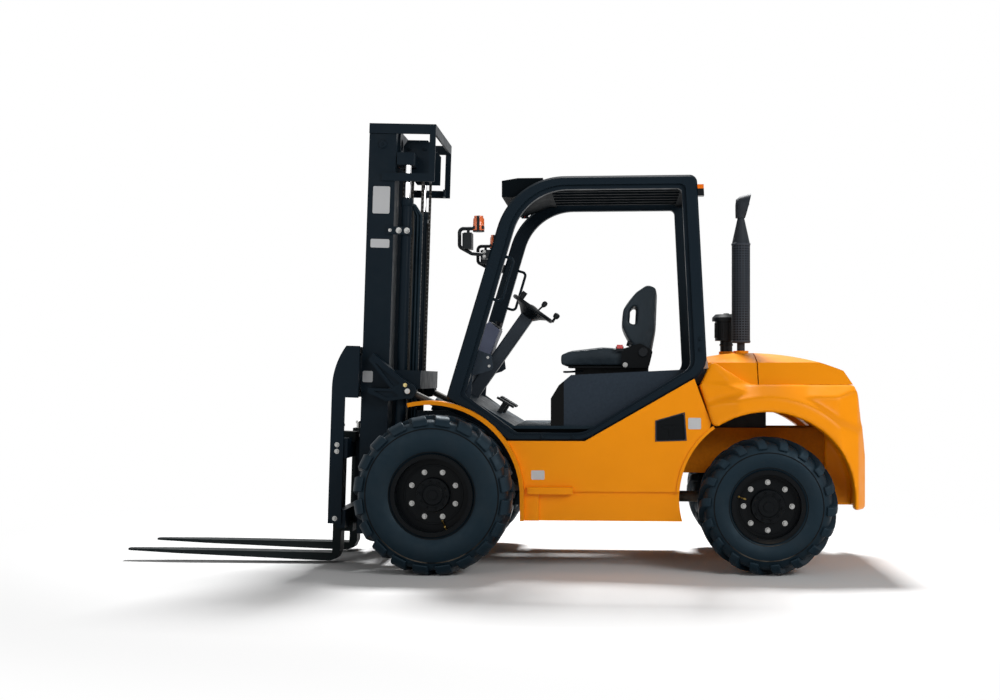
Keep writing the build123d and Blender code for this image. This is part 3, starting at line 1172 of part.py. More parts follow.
with BuildPart() as seat_cushion:
    with BuildSketch(side_plane(SEAT_HALF_WIDTH - FIT_GAP)):
        with BuildLine():
            FilletPolyline(*outline((
                (SEAT_FRONT, RUNNER_TOP + 10 + FIT_GAP), (SEAT_FRONT, 1275.0), (760.0, 1295.0), (985.0, 1322.0),
                (1150.0, 1300.0), (1150.0, RUNNER_TOP + 10 + FIT_GAP),
            )), radius=18, close=True)
        make_face()
    extrude(amount=2 * (SEAT_HALF_WIDTH - FIT_GAP))
keep(seat_cushion.part, "seat_cushion")
with BuildPart() as seat_back:
    with BuildSketch(side_plane(SEAT_HALF_WIDTH - FIT_GAP)):
        with BuildLine():
            FilletPolyline(*outline((
                (1160.0, RUNNER_TOP + 10 + FIT_GAP), (1160.0, 1310.0), (1085.0, 1450.0), (1092.0, 1550.0), (1175.0, 1660.0),
                (1245.0, 1706.0), (1300.0, 1685.0), (1290.0, 1420.0), (1248.0, RUNNER_TOP + 10 + FIT_GAP),
            )), radius=15, close=True)
        make_face()
    extrude(amount=2 * (SEAT_HALF_WIDTH - FIT_GAP))
    with BuildSketch(side_plane(SEAT_HALF_WIDTH)):
        with BuildLine():
            FilletPolyline(*outline(BOLSTER_OPENING), radius=12, close=True)
        make_face()
    extrude(amount=2 * SEAT_HALF_WIDTH, mode=Mode.SUBTRACT)
keep(seat_back.part, "seat_back")

# Steering column and hand wheel on one leaning axis
COLUMN_HALF = 42.0
COLUMN_TOP_GAP = 60.0
column_way = Vector(-sin(radians(COLUMN_ANGLE)), 0, cos(radians(COLUMN_ANGLE)))
wheel_centre = Vector(station(WHEEL_CENTRE_BEHIND), 0, WHEEL_CENTRE_HEIGHT)
column_length = 760.0
toe_normal = Vector(-toe_slope, 0, 1)
toe_plane = Plane((station(TOE_BEND), 0, FLOOR_TOP + FIT_GAP), z_dir=(-toe_slope, 0, 1))
with BuildPart() as steering_column:
    top = wheel_centre - column_way * COLUMN_TOP_GAP
    with BuildSketch(Plane(tuple(top), x_dir=(0, 1, 0), z_dir=tuple(column_way * -1))):
        RectangleRounded(2 * COLUMN_HALF, 2 * COLUMN_HALF, 12)
    extrude(amount=column_length)
    split(bisect_by=toe_plane, keep=Keep.TOP)
keep(steering_column.part, "steering_column")
SPOKE_COUNT = 3
HUB_HEIGHT = 46.0
HAND_HUB_RADIUS = 34.0
with BuildPart() as steering_wheel:
    hub_base = wheel_centre - column_way * (COLUMN_TOP_GAP - FIT_GAP)
    wheel_plane = Plane(tuple(wheel_centre), x_dir=(0, 1, 0), z_dir=tuple(column_way))
    with BuildSketch(Plane(tuple(hub_base), x_dir=(0, 1, 0), z_dir=tuple(column_way))):
        Circle(HAND_HUB_RADIUS)
    extrude(amount=HUB_HEIGHT + 22)
    across = (cos(radians(COLUMN_ANGLE)), 0, sin(radians(COLUMN_ANGLE)))
    with BuildSketch(Plane(tuple(wheel_centre), x_dir=(0, 1, 0), z_dir=across)):
        with Locations((WHEEL_RADIUS - WHEEL_RIM_RADIUS, 0)):
            RegularPolygon(WHEEL_RIM_RADIUS, 8)
    revolve(axis=Axis(tuple(wheel_centre), tuple(column_way)))
    with BuildSketch(wheel_plane.offset(-7)):
        with PolarLocations(WHEEL_RADIUS / 2, SPOKE_COUNT, start_angle=90):
            Rectangle(WHEEL_RADIUS - WHEEL_RIM_RADIUS, 26)
    extrude(amount=12)
    with Locations(wheel_plane.location):
        with Locations((0.72 * WHEEL_RADIUS, -0.6 * WHEEL_RADIUS, 34)):
            Cylinder(17, 46)
keep(steering_wheel.part, "steering_wheel")

# Instrument pod on the cowl
POD_HALF_WIDTH = 110.0
cowl_fall = (COWL_TOP_FRONT[1] - COWL_TOP_REAR[1]) / (COWL_TOP_REAR[0] - COWL_TOP_FRONT[0])


def cowl_top(behind):
    """Height of the cowl's upper face."""
    return COWL_TOP_FRONT[1] - cowl_fall * (behind - COWL_TOP_FRONT[0])


with BuildPart() as pod:
    with BuildSketch(Plane.XZ):
        with BuildLine():
            Polyline(outline((
                (165.0, cowl_top(165.0)), (205.0, 1430.0), (262.0, 1487.0), (330.0, 1432.0),
                (262.0, cowl_top(262.0)),
            )), close=True)
        make_face()
    extrude(amount=POD_HALF_WIDTH, both=True)
keep(pod.part, "dash_pod")

# Control levers on the right of the cowl, each a rod with a knob, square to the sheet
LEVER_RADIUS = 7.0
LEVER_LENGTH = 210.0
KNOB_RADIUS = 19.0
KNOB_WAIST = 12.0
LEVER_BEHIND = 230.0
LEVER_YS = (-190.0, -250.0, -310.0)
cowl_normal = Vector(-cowl_fall, 0, 1).normalized()
with BuildPart() as levers:
    for y in LEVER_YS:
        foot = Vector(station(LEVER_BEHIND), y, cowl_top(LEVER_BEHIND))
        with BuildSketch(Plane(tuple(foot), z_dir=tuple(cowl_normal))):
            Circle(LEVER_RADIUS)
        extrude(amount=LEVER_LENGTH)
        for start, end in ((LEVER_LENGTH - KNOB_RADIUS, KNOB_WAIST), (LEVER_LENGTH + KNOB_RADIUS, KNOB_RADIUS)):
            with BuildSketch(Plane(tuple(foot + cowl_normal * start), x_dir=(0, 1, 0), z_dir=tuple(cowl_normal))):
                RegularPolygon(end, 10)
        loft(ruled=True)
keep(levers.part, "control_levers")

# Pedals on the toe board: a stem square to the board with a tread plate
PEDAL_STEM = 70.0
PEDAL_LENGTH = 120.0
PEDAL_WIDTH = 70.0
PEDAL_PLATE = 12.0
PEDAL_BEHIND = 330.0
PEDAL_YS = (130.0, -130.0, -220.0)
toe_unit = toe_normal.normalized()
with BuildPart() as pedals:
    for y in PEDAL_YS:
        foot = Vector(station(PEDAL_BEHIND), y, toe_height(PEDAL_BEHIND))
        with BuildSketch(Plane(tuple(foot), x_dir=(0, 1, 0), z_dir=tuple(toe_unit))):
            Rectangle(18, 30)
        extrude(amount=PEDAL_STEM)
        with BuildSketch(Plane(tuple(foot + toe_unit * (PEDAL_STEM - 4)), x_dir=(0, 1, 0), z_dir=tuple(toe_unit))):
            RectangleRounded(PEDAL_WIDTH, PEDAL_LENGTH, 10)
        extrude(amount=PEDAL_PLATE)
keep(pedals.part, "pedals")

# Front lamps: a bent tube from a clamp on the pillar, a lamp housing and a turn lamp on a stalk
LAMP_Y = GUARD_INNER_Y + GUARD_TUBE_WIDTH / 2
LAMP_TUBE_RADIUS = 11.0
CLAMP_BOTTOM = 1838.0
CLAMP_TOP = 1890.0
CLAMP_LENGTH = 40.0
TURN_LAMP_SEAT = 2031.0
pillar_slope = (RING_OUTER[1][0] - RING_OUTER[0][0]) / (RING_OUTER[1][1] - RING_OUTER[0][1])


def pillar_front(height):
    """Station of the front edge of the guard's front pillar."""
    return RING_OUTER[0][0] + pillar_slope * (height - RING_OUTER[0][1])


with BuildPart() as headlamps:
    with BuildSketch(side_plane(LAMP_Y + 30)):
        with BuildLine():
            Polyline(outline((
                (pillar_front(CLAMP_BOTTOM), CLAMP_BOTTOM), (pillar_front(CLAMP_TOP), CLAMP_TOP),
                (pillar_front(CLAMP_TOP) - CLAMP_LENGTH, CLAMP_TOP),
                (pillar_front(CLAMP_BOTTOM) - CLAMP_LENGTH, CLAMP_BOTTOM),
            )), close=True)
        make_face()
    extrude(amount=60)
    with BuildLine() as lamp_path:
        FilletPolyline(
            *[(x, LAMP_Y, z) for x, z in outline((
                (pillar_front(CLAMP_BOTTOM) - CLAMP_LENGTH / 2, 1862.0), (200.0, 1870.0), (128.0, 1910.0),
                (128.0, 2018.0), (240.0, 2018.0),
            ))], radius=25)
    with BuildSketch(Plane(lamp_path.line @ 0, z_dir=lamp_path.line % 0)):
        RegularPolygon(LAMP_TUBE_RADIUS, 8)
    sweep(path=lamp_path.line)
    slab((station(205.0), station(158.0)), (LAMP_Y - 55, LAMP_Y + 55), (1895.0, 1990.0))
    slab((station(188.0), station(172.0)), (LAMP_Y - 9, LAMP_Y + 9), (1985.0, 2018.0))
    slab((station(275.0), station(210.0)), (LAMP_Y - 28, LAMP_Y + 28), (2012.0, TURN_LAMP_SEAT))
    mirror(about=Plane.XZ)
keep(headlamps.part, "headlamps")
with BuildPart() as turn_lamps:
    for side in (1, -1):
        post(station(242.0), side * LAMP_Y, 27.0, TURN_LAMP_SEAT, 2092.0)
keep(turn_lamps.part, "turn_lamps")

# Grab handles: a bent bar on the rear edge of each front pillar, square to it at both ends
HANDLE_RADIUS = 9.0
HANDLE_REACH = 52.0
HANDLE_BOTTOM = 1600.0
HANDLE_TOP = 1850.0
inner_slope = (RING_INNER[1][0] - RING_INNER[0][0]) / (RING_INNER[1][1] - RING_INNER[0][1])
inner_length = hypot(1, inner_slope)


def handle_point(height, reach):
    """Place on or behind the inner edge of the front pillar."""
    behind = RING_INNER[0][0] + inner_slope * (height - RING_INNER[0][1]) + reach / inner_length
    return (station(behind), LAMP_Y, height - reach * inner_slope / inner_length)


with BuildPart() as grab_handles:
    with BuildLine() as handle_path:
        FilletPolyline(handle_point(HANDLE_TOP, FIT_GAP), handle_point(HANDLE_TOP, HANDLE_REACH),
                       handle_point(HANDLE_BOTTOM, HANDLE_REACH), handle_point(HANDLE_BOTTOM, FIT_GAP), radius=24)
    with BuildSketch(Plane(handle_path.line @ 0, z_dir=handle_path.line % 0)):
        RegularPolygon(HANDLE_RADIUS, 8)
    sweep(path=handle_path.line)
    mirror(about=Plane.XZ)
keep(grab_handles.part, "grab_handles")

# Rear lamps: a holder on each rear pillar and the lamp on top of it
REAR_LAMP_LENGTH = 36.0
rear_slope = (RING_OUTER[3][0] - RING_OUTER[2][0]) / (RING_OUTER[2][1] - RING_OUTER[3][1])


def pillar_rear(height):
    """Station of the rear edge of the guard's rear pillar."""
    return RING_OUTER[2][0] + rear_slope * (GUARD_TOP - height)


with BuildPart() as rear_lamps:
    for low, high, half_width in ((2196.0, 2250.0, 30.0), (2250.0, 2262.0, 34.0)):
        for side in (1, -1):
            with BuildSketch(side_plane(side * LAMP_Y + half_width)):
                with BuildLine():
                    Polyline(outline((
                        (pillar_rear(low), low), (pillar_rear(high), high),
                        (pillar_rear(high) + REAR_LAMP_LENGTH, high), (pillar_rear(low) + REAR_LAMP_LENGTH, low),
                    )), close=True)
                make_face()
            extrude(amount=2 * half_width)
keep(rear_lamps.part, "rear_lamps")

# Mast, upright. Outer rails: channels open to the middle, with bands behind them
rail_x = (ahead(RAIL_FRONT - RAIL_DEPTH), ahead(RAIL_FRONT))
rail_rear = RAIL_FRONT - RAIL_DEPTH
cylinder_x = ahead(rail_rear - LIFT_CYLINDER_BEHIND_RAIL)
MAST_PLATE_FRONT_GAP = 6.0
LOWER_PLATE_TOP = 480.0
LOWER_PLATE_THICKNESS = 24.0
lower_plate = (ahead(rail_rear - MAST_PLATE_FRONT_GAP - LOWER_PLATE_THICKNESS), ahead(rail_rear))


def channel(half_width, flange_width, bottom, top):
    """Left rail: web outside, flanges towards the middle."""
    slab(rail_x, (half_width - RAIL_WEB, half_width), (bottom, top))
    slab((rail_x[0], rail_x[0] + RAIL_FLANGE), (half_width - flange_width, half_width), (bottom, top))
    slab((rail_x[1] - RAIL_FLANGE, rail_x[1]), (half_width - flange_width, half_width), (bottom, top))


def rear_band(top, height, front_forward, rear_forward, inner_end):
    """Band from the left rail's outer face, back past the cylinders, and inwards behind them."""
    z_range = (top - height, top)
    slab((ahead(rear_forward), ahead(front_forward)),
         (MAST_HALF_WIDTH, MAST_HALF_WIDTH + BAND_THICKNESS), z_range)
    slab((ahead(rear_forward), ahead(rear_forward) + BAND_THICKNESS),
         (inner_end, MAST_HALF_WIDTH + BAND_THICKNESS), z_range)


# top, height, front end forward, rear face forward, end of the part across
BAND_TABLE = (
    (MAST_TOP, TOP_BAND_HEIGHT, RAIL_FRONT, TOP_BAND_REAR, 0.0),
    (LOWER_BAND_TOP, LOWER_BAND_HEIGHT, 426.0, 130.0, 330.0),
    (MID_BAND_TOP, MID_BAND_HEIGHT, 426.0, 150.0, 0.0),
)
CLAMP_HEIGHTS = (2000.0, 700.0)
CLAMP_HEIGHT = 48.0
CLAMP_REACH = 40.0
BRACKET_RECESS = 14.0
# sunk web of the tilt bracket: forward, height
BRACKET_WEB = ((418.0, 1222.0), (262.0, 1100.0), (300.0, 1080.0))
BRACKET_FOOT = ((300.0, 1050.0), (420.0, 1050.0), (345.0, 1012.0), (268.0, 1022.0))
BRACKET_CHEEK = 47.0
BRACKET_OUTER = TILT_Y + BRACKET_CHEEK
BRACKET_SLOT = 4.0
pin_from_pivot = (TILT_PIN_FORWARD - PIVOT_FORWARD, TILT_PIN_HEIGHT - PIVOT_HEIGHT)
upright_pin = (
    ahead(PIVOT_FORWARD) + pin_from_pivot[0] * cos(LEAN) + pin_from_pivot[1] * sin(LEAN),
    PIVOT_HEIGHT + pin_from_pivot[1] * cos(LEAN) - pin_from_pivot[0] * sin(LEAN),
)
BRACKET_BOSS_RADIUS = 46.0
# forked bracket of the tilt cylinder: forward, height
BRACKET_OUTLINE = ((430.0, 1275.0), (458.0, 1237.0), (315.0, 1066.0), (456.0, 1066.0), (456.0, 1040.0),
                   (345.0, 990.0), (222.0, 1010.0), (200.0, 1098.0), (248.0, 1128.0))
with BuildPart() as outer_mast:
    channel(MAST_HALF_WIDTH, OUTER_FLANGE_WIDTH, MAST_BOTTOM, MAST_TOP)
    for top, height, front_end, rear_face, inner_end in BAND_TABLE:
        rear_band(top, height, front_end, rear_face, inner_end)
    # Clamps of the lift cylinder on the rail's outer face
    for height in CLAMP_HEIGHTS:
        slab((cylinder_x - CLAMP_REACH, rail_x[0] + CLAMP_REACH),
             (MAST_HALF_WIDTH, MAST_HALF_WIDTH + BAND_THICKNESS), (height, height + CLAMP_HEIGHT))
    # Lower cross plate and the lug of the mast pivot
    slab((lower_plate[0], ahead(rail_rear - MAST_PLATE_FRONT_GAP)), (0, MAST_HALF_WIDTH),
         (MAST_BOTTOM, LOWER_PLATE_TOP))
    slab(lower_plate, (INNER_HALF_WIDTH + MAST_PLATE_FRONT_GAP, MAST_HALF_WIDTH), (MAST_BOTTOM, LOWER_PLATE_TOP))
    slab((pivot[0], lower_plate[0]), (MAST_LUG_Y, MAST_LUG_Y + MAST_LUG_THICKNESS),
         (PIVOT_HEIGHT - PIVOT_LUG_RADIUS, PIVOT_HEIGHT + PIVOT_LUG_RADIUS))
    bar_along_y(*pivot, PIVOT_LUG_RADIUS, MAST_LUG_Y, MAST_LUG_Y + MAST_LUG_THICKNESS)
    bar_along_y(*pivot, PIVOT_PIN_RADIUS + FIT_GAP, MAST_LUG_Y, MAST_LUG_Y + MAST_LUG_THICKNESS,
                mode=Mode.SUBTRACT)
    # Foot of the lift cylinder
    slab((cylinder_x - LIFT_BARREL_RADIUS, lower_plate[0]),
         (LIFT_CYLINDER_Y - LIFT_BARREL_RADIUS, MAST_HALF_WIDTH), (MAST_BOTTOM, LIFT_FOOT_TOP))
    # Post between the two upper bands
    slab((ahead(TOP_BAND_REAR), ahead(TOP_BAND_REAR) + 36), (MAST_HALF_WIDTH, MAST_HALF_WIDTH + BAND_THICKNESS),
         (LOWER_BAND_TOP - LOWER_BAND_HEIGHT, MAST_TOP))
    # Anchor of the lift chain on the middle band
    slab((ahead(150.0), ahead(214.0)), (SHEAVE_Y - 22, SHEAVE_Y + 22),
         (CHAIN_ANCHOR_HEIGHT - 40, CHAIN_ANCHOR_HEIGHT))
    # Forked bracket of the tilt cylinder with its pin
    with BuildSketch(side_plane(BRACKET_OUTER)):
        with BuildLine():
            Polyline([(ahead(forward), height) for forward, height in BRACKET_OUTLINE], close=True)
        make_face()
        with Locations(upright_pin):
            Circle(BRACKET_BOSS_RADIUS)
    extrude(amount=BRACKET_OUTER - MAST_HALF_WIDTH)
    for web in (BRACKET_WEB, BRACKET_FOOT):
        with BuildSketch(side_plane(BRACKET_OUTER)):
            with BuildLine():
                Polyline([(ahead(forward), height) for forward, height in web], close=True)
            make_face()
        extrude(amount=BRACKET_RECESS, mode=Mode.SUBTRACT)
    slot_half = TILT_EYE_WIDTH / 2 + BRACKET_SLOT
    slab((ahead(100.0), ahead(292.0)), (TILT_Y - slot_half, TILT_Y + slot_half), (900.0, 1200.0),
         mode=Mode.SUBTRACT)
    bar_along_y(*upright_pin, TILT_PIN_RADIUS, TILT_Y - slot_half, TILT_Y + slot_half)
    mirror(about=Plane.XZ)
keep(leaned(outer_mast.part), "outer_mast")

# Lift cylinders on the outer mast, bored for their rods
bore_radius = LIFT_BARREL_RADIUS - LIFT_BARREL_WALL
LIFT_GLAND = 40.0
with BuildPart() as lift_cylinders:
    for side in (1, -1):
        place = (cylinder_x, side * LIFT_CYLINDER_Y)
        post(*place, LIFT_BARREL_RADIUS, LIFT_FOOT_TOP, LIFT_BARREL_TOP)
    for side in (1, -1):
        place = (cylinder_x, side * LIFT_CYLINDER_Y)
        post(*place, bore_radius, LIFT_FOOT_TOP + 30, LIFT_BARREL_TOP - LIFT_GLAND, mode=Mode.SUBTRACT)
        post(*place, LIFT_ROD_RADIUS + FIT_GAP, LIFT_BARREL_TOP - LIFT_GLAND, LIFT_BARREL_TOP, mode=Mode.SUBTRACT)
keep(leaned(lift_cylinders.part), "lift_cylinders")

# Lift rods: piston low in the barrel, top under the crosshead
ROD_START = 280.0
PISTON_HEIGHT = 30.0
with BuildPart() as lift_rods:
    for side in (1, -1):
        place = (cylinder_x, side * LIFT_CYLINDER_Y)
        post(*place, LIFT_ROD_RADIUS, ROD_START, CROSSHEAD_BOTTOM)
        post(*place, bore_radius - FIT_GAP, ROD_START, ROD_START + PISTON_HEIGHT)
keep(leaned(lift_rods.part), "lift_rods")

# Inner mast: rails, crosshead with windows for the chain wheels, low tie and low rollers
sheave_x = cylinder_x - 9.0
sheave_z = CROSSHEAD_BOTTOM + CROSSHEAD_HEIGHT / 2
crosshead_x = (cylinder_x - 36, ahead(rail_rear - MAST_PLATE_FRONT_GAP))
WINDOW_FRONT = sheave_x + SHEAVE_RADIUS + 3
WINDOW_HALF = 25.0
SHEAVE_WIDTH = 34.0
HEAD_PLATE = 12.0
HEAD_HOLE_RADIUS = 38.0
HEAD_HOLE_Y = 245.0
HEAD_HOLE_HEIGHT = 2565.0
SHEAVE_PIN_RADIUS = 15.0
roller_radius = (RAIL_DEPTH - 2 * RAIL_FLANGE) / 2 - ROLLER_GAP
roller_x = (rail_x[0] + rail_x[1]) / 2
ROLLER_HEIGHT = 292.0
with BuildPart() as inner_mast:
    channel(INNER_HALF_WIDTH, INNER_FLANGE_WIDTH, INNER_BOTTOM, INNER_TOP)
    slab(crosshead_x, (0, MAST_HALF_WIDTH - MAST_PLATE_FRONT_GAP),
         (CROSSHEAD_BOTTOM, CROSSHEAD_BOTTOM + CROSSHEAD_HEIGHT))
    slab((crosshead_x[1], rail_x[0]), (0, INNER_HALF_WIDTH), (CROSSHEAD_BOTTOM, CROSSHEAD_BOTTOM + CROSSHEAD_HEIGHT))
    slab((crosshead_x[0] - 1, WINDOW_FRONT), (SHEAVE_Y - WINDOW_HALF, SHEAVE_Y + WINDOW_HALF),
         (CROSSHEAD_BOTTOM, CROSSHEAD_BOTTOM + CROSSHEAD_HEIGHT), mode=Mode.SUBTRACT)
    bar_along_y(sheave_x, sheave_z, SHEAVE_PIN_RADIUS, SHEAVE_Y - WINDOW_HALF, SHEAVE_Y + WINDOW_HALF)
    slab((rail_x[0] - HEAD_PLATE, rail_x[0]), (0, INNER_HALF_WIDTH), (CROSSHEAD_BOTTOM, INNER_TOP))
    with BuildSketch(Plane((rail_x[0], HEAD_HOLE_Y, HEAD_HOLE_HEIGHT), z_dir=(-1, 0, 0))):
        Circle(HEAD_HOLE_RADIUS)
    extrude(amount=HEAD_PLATE, mode=Mode.SUBTRACT)
    slab((rail_x[0], rail_x[0] + RAIL_FLANGE), (0, INNER_HALF_WIDTH), (INNER_BOTTOM, INNER_BOTTOM + 150))
    bar_along_y(roller_x, ROLLER_HEIGHT, roller_radius, INNER_HALF_WIDTH + 5, MAST_HALF_WIDTH - RAIL_WEB - 5)
    bar_along_y(roller_x, ROLLER_HEIGHT, 30, INNER_HALF_WIDTH - 1, INNER_HALF_WIDTH + 6)
    mirror(about=Plane.XZ)
keep(leaned(inner_mast.part), "inner_mast")

# Chain wheels on the crosshead, with the bend of chain that lies over each
with BuildPart() as sheaves:
    groove = CHAIN_WIDTH / 2 + 1.5
    for y in (SHEAVE_Y, -SHEAVE_Y):
        bar_along_y(sheave_x, sheave_z, SHEAVE_RADIUS, y - SHEAVE_WIDTH / 2, y + SHEAVE_WIDTH / 2)
    for y in (SHEAVE_Y, -SHEAVE_Y):
        with BuildSketch(side_plane(y + groove)):
            with Locations((sheave_x, sheave_z)):
                Circle(SHEAVE_RADIUS + 1)
                Circle(SHEAVE_GROOVE, mode=Mode.SUBTRACT)
        extrude(amount=2 * groove, mode=Mode.SUBTRACT)
        bar_along_y(sheave_x, sheave_z, SHEAVE_PIN_RADIUS + FIT_GAP, y - SHEAVE_WIDTH / 2, y + SHEAVE_WIDTH / 2,
                    mode=Mode.SUBTRACT)
    for y in (SHEAVE_Y, -SHEAVE_Y):
        with BuildSketch(side_plane(y + CHAIN_WIDTH / 2)):
            with Locations((sheave_x, sheave_z)):
                Circle(SHEAVE_GROOVE + FIT_GAP + CHAIN_THICKNESS)
                Circle(SHEAVE_GROOVE + FIT_GAP, mode=Mode.SUBTRACT)
                with Locations((0, -SHEAVE_RADIUS)):
                    Rectangle(4 * SHEAVE_RADIUS, 2 * SHEAVE_RADIUS, mode=Mode.SUBTRACT)
        extrude(amount=CHAIN_WIDTH)
keep(leaned(sheaves.part), "chain_sheaves")

# Lift chains: rear run from the middle band to the wheel, front run from the wheel to the carriage
chain_near = SHEAVE_GROOVE + FIT_GAP
chain_far = chain_near + CHAIN_THICKNESS
# name, X limits, lower end
CHAIN_TABLE = (
    ("chains_rear", (sheave_x - chain_far, sheave_x - chain_near), CHAIN_ANCHOR_HEIGHT),
    ("chains_front", (sheave_x + chain_near, sheave_x + chain_far), CARRIAGE_ANCHOR_TOP),
)
# wide and narrow links by turns
LINK_PITCH = 50.8
LINK_WAIST = 5.5
for name, x_range, low_end in CHAIN_TABLE:
    link_count = int((sheave_z - low_end) / LINK_PITCH)
    edge = []
    for link in range(link_count):
        half_width = CHAIN_WIDTH / 2 - LINK_WAIST * (link % 2)
        top_end = sheave_z if link == link_count - 1 else low_end + (link + 1) * LINK_PITCH
        edge += [(half_width, low_end + link * LINK_PITCH), (half_width, top_end)]
    with BuildPart() as chain:
        with BuildSketch(Plane((x_range[0], 0, 0), x_dir=(0, 1, 0), z_dir=(1, 0, 0))):
            with BuildLine():
                Polyline([(SHEAVE_Y + y, z) for y, z in edge] + [(SHEAVE_Y - y, z) for y, z in reversed(edge)],
                         close=True)
            make_face()
        extrude(amount=CHAIN_THICKNESS)
        mirror(about=Plane.XZ)
    keep(leaned(chain.part), name)

# Carriage: plates with rollers in the inner rails, two fork bars, anchors for the chains
bar_x = (ahead(FORK_FACE - FORK_THICKNESS - CARRIAGE_BAR_THICKNESS), ahead(FORK_FACE - FORK_THICKNESS))
plate_outer = CARRIAGE_PLATE_Y + CARRIAGE_PLATE_THICKNESS
PLATE_REAR = 420.0
CARRIAGE_ROLLERS = (300.0, 690.0)
with BuildPart() as carriage:
    slab((ahead(PLATE_REAR), bar_x[0]), (CARRIAGE_PLATE_Y, plate_outer), (LOWER_BAR_BOTTOM, UPPER_BAR_TOP))
    for low, high in ((LOWER_BAR_BOTTOM, LOWER_BAR_TOP), (UPPER_BAR_BOTTOM, UPPER_BAR_TOP)):
        slab(bar_x, (0, CARRIAGE_HALF_WIDTH), (low, high))
    for height in CARRIAGE_ROLLERS:
        inner_face = INNER_HALF_WIDTH - RAIL_WEB
        bar_along_y(roller_x, height, roller_radius, INNER_HALF_WIDTH - INNER_FLANGE_WIDTH + 4, inner_face - 5)
        bar_along_y(roller_x, height, 30, plate_outer - 1, INNER_HALF_WIDTH - INNER_FLANGE_WIDTH + 5)
    slab((sheave_x + chain_near - 8, ahead(PLATE_REAR + 1)), (SHEAVE_Y - 22, plate_outer),
         (CARRIAGE_ANCHOR_TOP - 40, CARRIAGE_ANCHOR_TOP))
    mirror(about=Plane.XZ)
keep(leaned(carriage.part), "carriage")

# Load backrest: a side plate at each end of the fork bars, with a grid between their heads
head_rear = FORK_FACE - BACKREST_HEAD_DEPTH
low_rear = FORK_FACE - BACKREST_DEPTH
plate_side = CARRIAGE_HALF_WIDTH + BACKREST_PLATE
BACKREST_BEND = 1060.0
grid_x = (ahead(low_rear - 30), ahead(low_rear))
with BuildPart() as backrest:
    with BuildSketch(side_plane(plate_side)):
        with BuildLine():
            front_line = Line((ahead(FORK_FACE), BACKREST_BOTTOM), (ahead(FORK_FACE), BACKREST_BEND))
            TangentArc((ahead(FORK_FACE), BACKREST_BEND), (ahead(low_rear), BACKREST_TOP), tangent=(0, 1))
            Polyline((ahead(low_rear), BACKREST_TOP), (ahead(head_rear), BACKREST_TOP),
                     (ahead(head_rear), BACKREST_GRID_BOTTOM), (ahead(low_rear), BACKREST_GRID_BOTTOM),
                     (ahead(low_rear), BACKREST_BOTTOM), (ahead(FORK_FACE), BACKREST_BOTTOM))
        make_face()
    extrude(amount=BACKREST_PLATE)
    for top in (BACKREST_TOP, BACKREST_GRID_BOTTOM + BACKREST_BAR):
        slab(grid_x, (0, CARRIAGE_HALF_WIDTH), (top - BACKREST_BAR, top))
    mirror(about=Plane.XZ)
    grid_pitch = 2 * CARRIAGE_HALF_WIDTH / (BACKREST_BAR_COUNT + 1)
    for column in range(BACKREST_BAR_COUNT):
        y = (column - (BACKREST_BAR_COUNT - 1) / 2) * grid_pitch
        slab(grid_x, (y - 10, y + 10), (BACKREST_GRID_BOTTOM, BACKREST_TOP))
keep(leaned(backrest.part), "load_backrest")

# Forks: shank with hooks over the fork bars, heel and a tapered blade
HOOK_THICKNESS = 34.0
HOOK_LIP = 20.0
HOOK_HANG = 26.0
BLADE_TAPER_START = 700.0
for name, side in SIDES:
    with BuildPart() as fork:
        fork_y = side * FORK_SPACING / 2
        shank_rear = FORK_FACE - FORK_THICKNESS
        tip = FORK_FACE + FORK_LENGTH
        lip_front = shank_rear - CARRIAGE_BAR_THICKNESS - FIT_GAP
        lip_rear = lip_front - HOOK_LIP
        top_seat = UPPER_BAR_TOP + FIT_GAP
        low_seat = LOWER_BAR_BOTTOM - FIT_GAP
        with BuildSketch(side_plane(fork_y + FORK_WIDTH / 2)):
            with BuildLine():
                Polyline([(ahead(forward), height) for forward, height in (
                    (FORK_FACE, FORK_BOTTOM + FORK_THICKNESS), (FORK_FACE, top_seat + HOOK_THICKNESS),
                    (lip_rear, top_seat + HOOK_THICKNESS), (lip_rear, top_seat - HOOK_HANG),
                    (lip_front, top_seat - HOOK_HANG), (lip_front, top_seat), (shank_rear, top_seat),
                    (shank_rear, low_seat), (lip_front, low_seat), (lip_front, low_seat + HOOK_HANG),
                    (lip_rear, low_seat + HOOK_HANG), (lip_rear, low_seat - HOOK_THICKNESS),
                    (shank_rear, low_seat - HOOK_THICKNESS), (shank_rear, FORK_BOTTOM + FORK_HEEL_RADIUS),
                    (shank_rear + FORK_HEEL_RADIUS * 0.3, FORK_BOTTOM + FORK_HEEL_RADIUS * 0.3),
                    (shank_rear + FORK_HEEL_RADIUS, FORK_BOTTOM), (tip, FORK_BOTTOM + 8),
                    (tip, FORK_BOTTOM + 8 + FORK_TIP_THICKNESS), (tip - BLADE_TAPER_START, FORK_BOTTOM + 38),
                )], close=True)
            make_face()
        extrude(amount=FORK_WIDTH)
        with BuildSketch(Plane.XY.offset(FORK_BOTTOM - 1)):
            with BuildLine():
                blade_x = ahead(tip - 330)
                Polyline((ahead(lip_rear - 1), fork_y - FORK_WIDTH / 2), (blade_x, fork_y - FORK_WIDTH / 2),
                         (ahead(tip - 20), fork_y - FORK_TIP_WIDTH / 2), (ahead(tip), fork_y - FORK_TIP_WIDTH / 3),
                         (ahead(tip), fork_y + FORK_TIP_WIDTH / 3), (ahead(tip - 20), fork_y + FORK_TIP_WIDTH / 2),
                         (blade_x, fork_y + FORK_WIDTH / 2), (ahead(lip_rear - 1), fork_y + FORK_WIDTH / 2), close=True)
            make_face()
        extrude(amount=UPPER_BAR_TOP + 100, mode=Mode.INTERSECT)
    keep(leaned(fork.part), f"fork_{name}")

